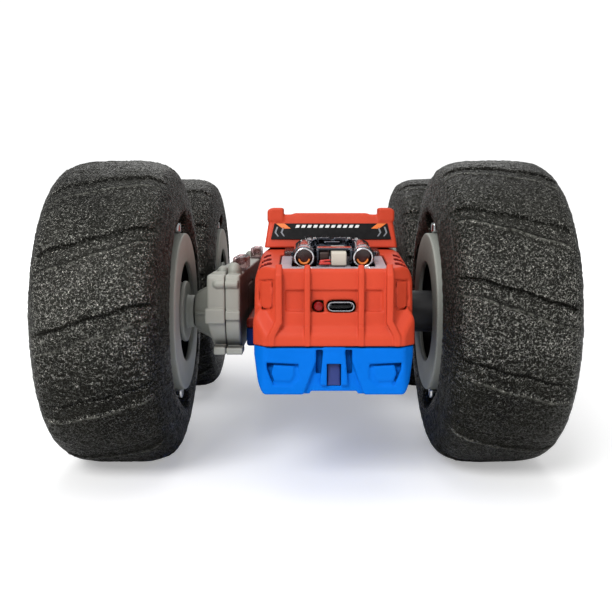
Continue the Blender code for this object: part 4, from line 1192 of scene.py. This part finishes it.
# ------------------------------------------------------------------ arm screws, lugs, sleeves
ARM_SCREW = [(0.55, 26.9), (1.15, 26.9), (1.15, 36.8), (1.95, 36.8), (1.95, 37.6),
             (0.55, 37.6)]  # (radius, |x|)
AXLE_SLEEVE = [(2.12, 30.4), (8.7, 30.4), (8.7, 36.0), (8.3, 36.5), (8.3, 52.6), (7.8, 56.0),
               (2.12, 56.0)]  # (radius, |x|)


def clear_lug(x, y, z):
    """Shallow clear trough on top of the arm."""
    trough = block(x, np.abs(y), z, (-27.3, 53.0, 78.6), (2.8, 12.5, 3.2), 1.4)
    return carve(trough, block(x, np.abs(y), z, (-27.3, 53.0, 81.0), (1.7, 9.5, 2.8), 0.8), 0.3)


ENDS = (("front", -1), ("rear", 1))  # name, sign of y
for end_name, end_sign in ENDS:
    screw = spin("right_arm_sunk_screw_" + end_name, ARM_SCREW, end_sign * ARM_SCREW_Y, -1,
                 segments=40, radius=0.3, z=ARM_SCREW_Z)
    place(screw, "right_arm", "steel", STEEL, "right_arm_screw_" + end_name)
    mould("right_arm_clear_lug_" + end_name, clear_lug,
          lattice((-31.0, -24.2), mirrored(end_sign, 39.5, 66.5), (74.6, 82.6), 0.4, 0.5),
          "right_arm", "nylon", ROSE, polish=1)

for end_name, end_sign in ENDS:
    sleeve = spin("left_%s_sleeve_moulding" % end_name, AXLE_SLEEVE, end_sign * AXLE_Y, 1,
                  segments=72, radius=0.5)
    place(sleeve, "chassis", "dark_plastic", DARK, "left_%s_axle_sleeve" % end_name)


# ------------------------------------------------------------------ hood
# Hood fields use x from the middle plane, run up the slope and rise square to it.
HOOD_TILT = math.atan2(DECK - NOSE_TOP, END_Y - HOOD_Y)
HOOD_STEP = pick(0.36)


def on_hood(func):
    """Field given in hood axes, seen from the car's axes."""
    cos, sin = math.cos(HOOD_TILT), math.sin(HOOD_TILT)

    def field(x, y, z):
        back, up = y + END_Y, z - NOSE_TOP
        return func(x - BODY_X, back * cos + up * sin, -back * sin + up * cos)
    return field


def label_tray(x, run, rise):
    """Thin tray with an opening under each drum."""
    tray = block(x, run, rise, (0, 18.75, -1.2), (18.3, 16.7, 0.6), 0.5)
    return carve(tray, block(np.abs(x), run, rise, (DRUM_X, 16.0, 0), (4.2, 8.6, 4), 0.4))


def drum_radius(x, rise, sign, centre_rise=DRUM_RISE):
    return np.sqrt((x - sign * DRUM_X) ** 2 + (rise - centre_rise) ** 2)


def drum(x, run, rise, sign):
    """Drum open to the front, with a ring round it and a small lug outside."""
    radius = drum_radius(x, rise, sign)
    form = meet(radius - 3.75, np.abs(run - 16.4) - 7.9, 0.5)
    form = carve(form, np.maximum(radius - 3.05, run - 13.2), 0.2)
    form = join(form, np.sqrt((radius - 3.55) ** 2 + (run - 12.4) ** 2) - 0.45, 0.2)
    lug = np.sqrt((x - sign * 14.0) ** 2 + (run - 12.5) ** 2 + (rise - 2.6) ** 2) - 0.9
    return join(form, lug, 0.4)


def drum_core(x, run, rise, sign):
    return meet(drum_radius(x, rise, sign) - 2.9, np.abs(run - 12.6) - 0.5, 0.3)


def drum_ring(x, run, rise, sign):
    return np.sqrt((drum_radius(x, rise, sign) - 3.15) ** 2 + (run - 8.6) ** 2) - 0.33


def drum_glint(x, run, rise, sign):
    """Lower arc in front of the core, glowing as a painted glint."""
    arc = np.abs(drum_radius(x, rise, sign, centre_rise=1.5) - 1.75) - 0.32
    return meet(meet(arc, np.abs(run - 10.9) - 0.6, 0.3), rise - 1.4, 0.4)


def engine(x, run, rise):
    """Block with a cut-down front, a cross bar, two open tubes and a notch on top."""
    form = block(x, run, rise, (0, 29.9, 2.7), (10.3, 4.9, 2.9), 0.6)
    form = carve(form, block(x, run, rise, (0, 24.0, 5.4), (7.0, 5.0, 2.4), 0.5), 0.3)
    form = join(form, block(x, run, rise, (0, 27.2, 4.1), (3.0, 1.0, 0.6), 0.4), 0.2)
    for sign in (-1, 1):
        radius = np.sqrt((x - sign * 6.2) ** 2 + (rise - 4.6) ** 2)
        tube = meet(radius - 1.5, np.abs(run - 26.2) - 2.4, 0.3)
        tube = carve(tube, np.maximum(radius - 0.95, run - 25.5), 0.2)
        form = join(form, tube, 0.2)
    return carve(form, block(x, run, rise, (0, 33.0, 5.8), (0.7, 4.0, 0.7), 0.2), 0.2)


def cream_block(x, run, rise):
    return block(x, run, rise, (1.75, 13.6, 2.0), (2.6, 6.9, 2.3), 0.35)


def bracket(x, run, rise):
    """Two posts and a top plate between the drums."""
    posts = np.minimum(block(x, run, rise, (-5.4, 11.6, 2.3), (0.5, 3.0, 2.5), 0.35),
                       block(x, run, rise, (6.0, 11.6, 2.3), (0.5, 3.0, 2.5), 0.35))
    return np.minimum(posts, block(x, run, rise, (0.3, 12.4, 4.75), (6.1, 2.2, 0.45), 0.3))


def relay(x, run, rise):
    return block(x, run, rise, (-3.2, 12.2, 2.3), (1.7, 3.0, 1.6), 0.4)


def wires(x, run, rise):
    lower_wire = to_segment(x, rise, (-4.6, 0.4), (-1.4, 0.5))
    upper_wire = to_segment(x, rise, (-4.4, 1.25), (-1.4, 1.5))
    return np.minimum(np.sqrt(lower_wire ** 2 + (run - 6.9) ** 2) - 0.5,
                      np.sqrt(upper_wire ** 2 + (run - 7.4) ** 2) - 0.42)


def clear_wings(x, run, rise):
    """Thin skin of the clear wings beside the engine, open underneath."""
    wing = block(np.abs(x), run, rise, (14.2, 30.4, 0.25), (3.2, 4.5, 0.75), 0.5)
    lip = block(np.abs(x), run, rise, (11.6, 24.6, 0.6), (0.6, 2.6, 0.9), 0.4)
    skin = np.abs(join(wing, lip, 0.5) + 0.22) - 0.22
    return np.maximum(skin, -0.35 - rise)


mould("hood_label_tray", on_hood(label_tray),
      lattice(around(BODY_X, 19.2), (-127.0, -90.5), (77.5, 86.5), HOOD_STEP),
      "chassis", "lilac", LILAC, "hood_insert")

DRUM_PARTS = (  # name, field, material, slot
    ("core", drum_core, WINE, "red_plastic"),
    ("ring", drum_ring, BRIGHT, "chrome"),
    ("glint", drum_glint, PAINTED_GLINT, "red_plastic"),
)
for sign, side_name in ((-1, "right"), (1, "left")):
    drum_x = BODY_X + sign * DRUM_X
    mould("hood_drum_" + side_name, on_hood(partial(drum, sign=sign)),
          lattice(around(drum_x, 5.6), (-121.0, -101.0), (78.0, 91.5),
                  pick(0.3), pick(0.4)),
          "chassis", "chrome", CHROME, "intake_" + side_name)
    for part, func, mat, slot_name in DRUM_PARTS:
        mould("hood_drum_%s_%s" % (part, side_name), on_hood(partial(func, sign=sign)),
              lattice(around(drum_x, 4.2), (-121.0, -112.0), (78.5, 88.8), pick(0.22)),
              "chassis", slot_name, mat)

mould("hood_engine", on_hood(engine),
      lattice(around(BODY_X, 11.2), (-104.8, -91.0), (82.5, 93.2), HOOD_STEP),
      "chassis", "chrome", CHROME, "engine_block")
mould("hood_cream_block", on_hood(cream_block),
      lattice((BODY_X - 1.4, BODY_X + 5.0), (-122.0, -105.5), (79.5, 88.4),
              pick(0.28), pick(0.4)),
      "chassis", "cream", CREAM, "air_scoop")
for name, func, mat, slot_name in (("hood_bracket", bracket, CHROME, "chrome"),
                                   ("hood_relay", relay, BROWN, "dark_plastic"),
                                   ("hood_wires", wires, WIRE_RED, "red_plastic")):
    mould(name, on_hood(func),
          lattice(around(BODY_X, 7.4), (-123.0, -109.5), (78.8, 89.2), HOOD_STEP),
          "chassis", slot_name, mat)
mould("hood_clear_cover", on_hood(clear_wings),
      lattice(around(BODY_X, 18.0), (-121.5, -90.8), (79.0, 93.0), pick(0.3)),
      "chassis", "chrome", GLASSY, polish=1)

# ------------------------------------------------------------------ windscreen label
SCREEN_TILT = math.atan2(SCREEN_RUN, SCREEN_RISE)
LABEL_Z = 92.25                       # height of the label's middle
LABEL_OUTLINE = [(-22.7, -3.05), (22.7, -3.05), (21.4, 3.05), (-21.4, 3.05)]
SLASH = [(20.9, 3.0), (17.6, 3.0), (15.2, 1.05), (18.2, 1.0)]
CHEVRONS = ((20.6, 1.6), (18.3, 1.2))  # (place across, height)
CHEVRON_WIDTH = 0.55


def flat_piece(name, outline, mat, lift=0.53, thick=0.05, stands_for=()):
    """Thin print on the windscreen; the outline is (across, up the screen) from its middle."""
    bm = bmesh.new()
    face = bm.faces.new([bm.verts.new((across, up, 0)) for across, up in outline])
    extruded = bmesh.ops.extrude_face_region(bm, geom=[face])
    for item in extruded["geom"]:
        if isinstance(item, bmesh.types.BMVert):
            item.co.z += thick
    mid_y = SCREEN_FOOT_Y + (LABEL_Z - CAB_Z) * math.tan(SCREEN_TILT)
    upward = Vector((0, math.sin(SCREEN_TILT), math.cos(SCREEN_TILT)))
    outward = Vector((0, -math.cos(SCREEN_TILT), math.sin(SCREEN_TILT)))
    for vert in bm.verts:
        across, up, out = vert.co
        middle = Vector((BODY_X + across, mid_y, LABEL_Z))
        vert.co = (middle + upward * up + outward * (out + lift)) * MM
    bm.normal_update()
    bmesh.ops.recalc_face_normals(bm, faces=bm.faces)
    mesh = bpy.data.meshes.new(name)
    bm.to_mesh(mesh)
    bm.free()
    obj = link_object(name, mesh)
    bevel = obj.modifiers.new("soft", "BEVEL")
    bevel.width = 0.00004
    bevel.segments = 2
    place(obj, "chassis", "decal", mat, *stands_for)


def flipped(outline, sign):
    """Outline for the side given by the sign, kept in the same winding."""
    return [(sign * across, up) for across, up in outline][::sign]


def chevron(at, height):
    top = 0.9 + height * 0.5
    return [(at, top), (at + 0.2 - CHEVRON_WIDTH * 1.5, top),
            (at + 0.75 - CHEVRON_WIDTH * 1.2, -0.5), (at - 0.35 - CHEVRON_WIDTH, -2.0),
            (at - 0.35, -2.0), (at + 0.75, -0.5)]


flat_piece("windscreen_label", LABEL_OUTLINE, BLACK, lift=0.32, thick=0.2,
           stands_for=("windscreen_decal",))
for sign, side_name in ((-1, "right"), (1, "left")):
    flat_piece("label_slash_" + side_name, flipped(SLASH, sign), ORANGE)
    for n, (at, height) in enumerate(CHEVRONS):
        flat_piece("label_chevron_%s_%d" % (side_name, n + 1),
                   flipped(chevron(at, height), sign), CHEVRON)
# a row of slanted dashes
for n in range(11):
    at = -12.6 + 2.25 * n
    flat_piece("label_dash_%d" % (n + 1),
               [(at - 0.95, 1.35), (at + 0.45, 1.35), (at + 0.95, 2.45), (at - 0.45, 2.45)],
               PAPER)


# ------------------------------------------------------------------ windows in the end tongues
def keel_window(x, y, z, sign):
    return block(x, y * sign, z, (BODY_X, 125.6, 44.6), (2.3, 0.4, 3.8), 0.2)


for end_name, end_sign in ENDS:
    mould("keel_window_" + end_name, partial(keel_window, sign=end_sign),
          lattice(around(BODY_X, 3.4), mirrored(end_sign, 124.4, 126.8), (40.0, 49.2), 0.5, 0.3),
          "chassis", "blue_plastic", WINDOW)

# ------------------------------------------------------------------ CAD pieces kept as they are
CAD_LOOKS = {
    "status_led": LENS, "circuit_board": BOARD, "battery_pack": CELL, "usb_port_shell": PORT,
    "usb_port_tongue": PITCH, "power_switch": DARK, "arm_pivot_bush": DARK}


def cad_material(name):
    if name in CAD_LOOKS:
        return CAD_LOOKS[name]
    if name.endswith("_gear") or "idler_gear" in name or name == "right_arm_pivot_tube":
        return NYLON
    return STEEL


for name, obj in cad_pieces.items():
    obj.data.materials.clear()
    obj.data.materials.append(cad_material(name))
    if obj.hide_render:
        continue
    bevel = obj.modifiers.new("edge", "BEVEL")
    bevel.width = 0.00012
    bevel.segments = 2
    bevel.limit_method = "ANGLE"
    bevel.angle_limit = math.radians(40)


# ------------------------------------------------------------------ floor, world, lights, camera
FLOOR_LEVEL = -0.0001                                # metres
FLOOR_RADII = (0.4, 0.8, 1.4, 2.5, 5.0, 12.0, 40.0)  # metres
FLOOR_SEGMENTS = 48


def floor_paper():
    """White paper that glows to the camera, a little near the car and fully far away."""
    sh = Shader("floor_paper")
    distance = sh.add("VectorMath", {0: sh.coords}, operation="LENGTH").outputs["Value"]
    away = sh.add("MapRange", {"Value": distance, "From Min": 0.30, "From Max": 1.1,
                               "To Min": 0.35, "To Max": 1.1}, interpolation_type="SMOOTHSTEP")
    seen = sh.add("LightPath").outputs["Is Camera Ray"]
    sh.feed(sh.bsdf, {
        "Base Color": sh.ramp(sh.noise(3.0, rough=0.5), (0.3, 0.90), (0.7, 0.92)),
        "Roughness": 0.75,
        "Specular IOR Level": 0.2,
        "Emission Color": (1, 1, 1, 1),
        "Emission Strength": sh.math("MULTIPLY", away.outputs["Result"], seen),
    })
    return sh.mat


def build_floor():
    bm = bmesh.new()
    centre = bm.verts.new((0, 0, FLOOR_LEVEL))
    rings = []
    for radius in FLOOR_RADII:
        angles = [t * math.pi / (FLOOR_SEGMENTS / 2) for t in range(FLOOR_SEGMENTS)]
        rings.append([bm.verts.new((radius * math.cos(a), radius * math.sin(a), FLOOR_LEVEL))
                      for a in angles])
    for t in range(FLOOR_SEGMENTS):
        after = (t + 1) % FLOOR_SEGMENTS
        bm.faces.new((centre, rings[0][t], rings[0][after]))
        for near, far in zip(rings, rings[1:]):
            bm.faces.new((near[t], far[t], far[after], near[after]))
    mesh = bpy.data.meshes.new("floor")
    bm.to_mesh(mesh)
    bm.free()
    floor = link_object("floor", mesh)
    floor.data.materials.append(floor_paper())


def build_world():
    """White surroundings: dim as a light, bright to the camera."""
    world = bpy.data.worlds.new("studio")
    bpy.context.scene.world = world
    world.use_nodes = True
    kit = Nodes(world.node_tree)
    seen = kit.add("LightPath").outputs["Is Camera Ray"]
    level = kit.add("MapRange", {"Value": seen, "To Min": 0.38, "To Max": 1.1})
    kit.feed(world.node_tree.nodes["Background"],
             {"Color": (1, 1, 1, 1), "Strength": level.outputs["Result"]})


def area_light(name, location, aim, size, power):
    data = bpy.data.lights.new(name, "AREA")
    data.energy = power
    data.size = size
    obj = link_object(name, data)
    obj.location = location
    obj.rotation_euler = (Vector(aim) - Vector(location)).to_track_quat("-Z", "Y").to_euler()


def build_camera():
    data = bpy.data.cameras.new("camera")
    data.sensor_width = 36.0
    data.lens = 47.06
    data.clip_start = 0.01
    obj = link_object("camera", data)
    obj.location = (0.0, -0.39336, 0.0969)
    obj.rotation_euler = (math.radians(90 - 6.19), 0, 0)
    bpy.context.scene.camera = obj


build_floor()
build_world()
area_light("key", (-0.46, -1.09, 0.86), aim=(0, -0.08, 0.06), size=0.55, power=12.8)
area_light("top", (-0.05, -0.10, 1.15), aim=(0, -0.02, 0.05), size=0.8, power=3.0)
area_light("fill_right", (0.95, -0.75, 0.45), aim=(0, 0, 0.06), size=0.5, power=0.5)
area_light("back", (0.0, 0.9, 0.9), aim=(0, 0, 0.06), size=0.9, power=3.0)
build_camera()
bpy.context.scene.view_settings.view_transform = "Standard"
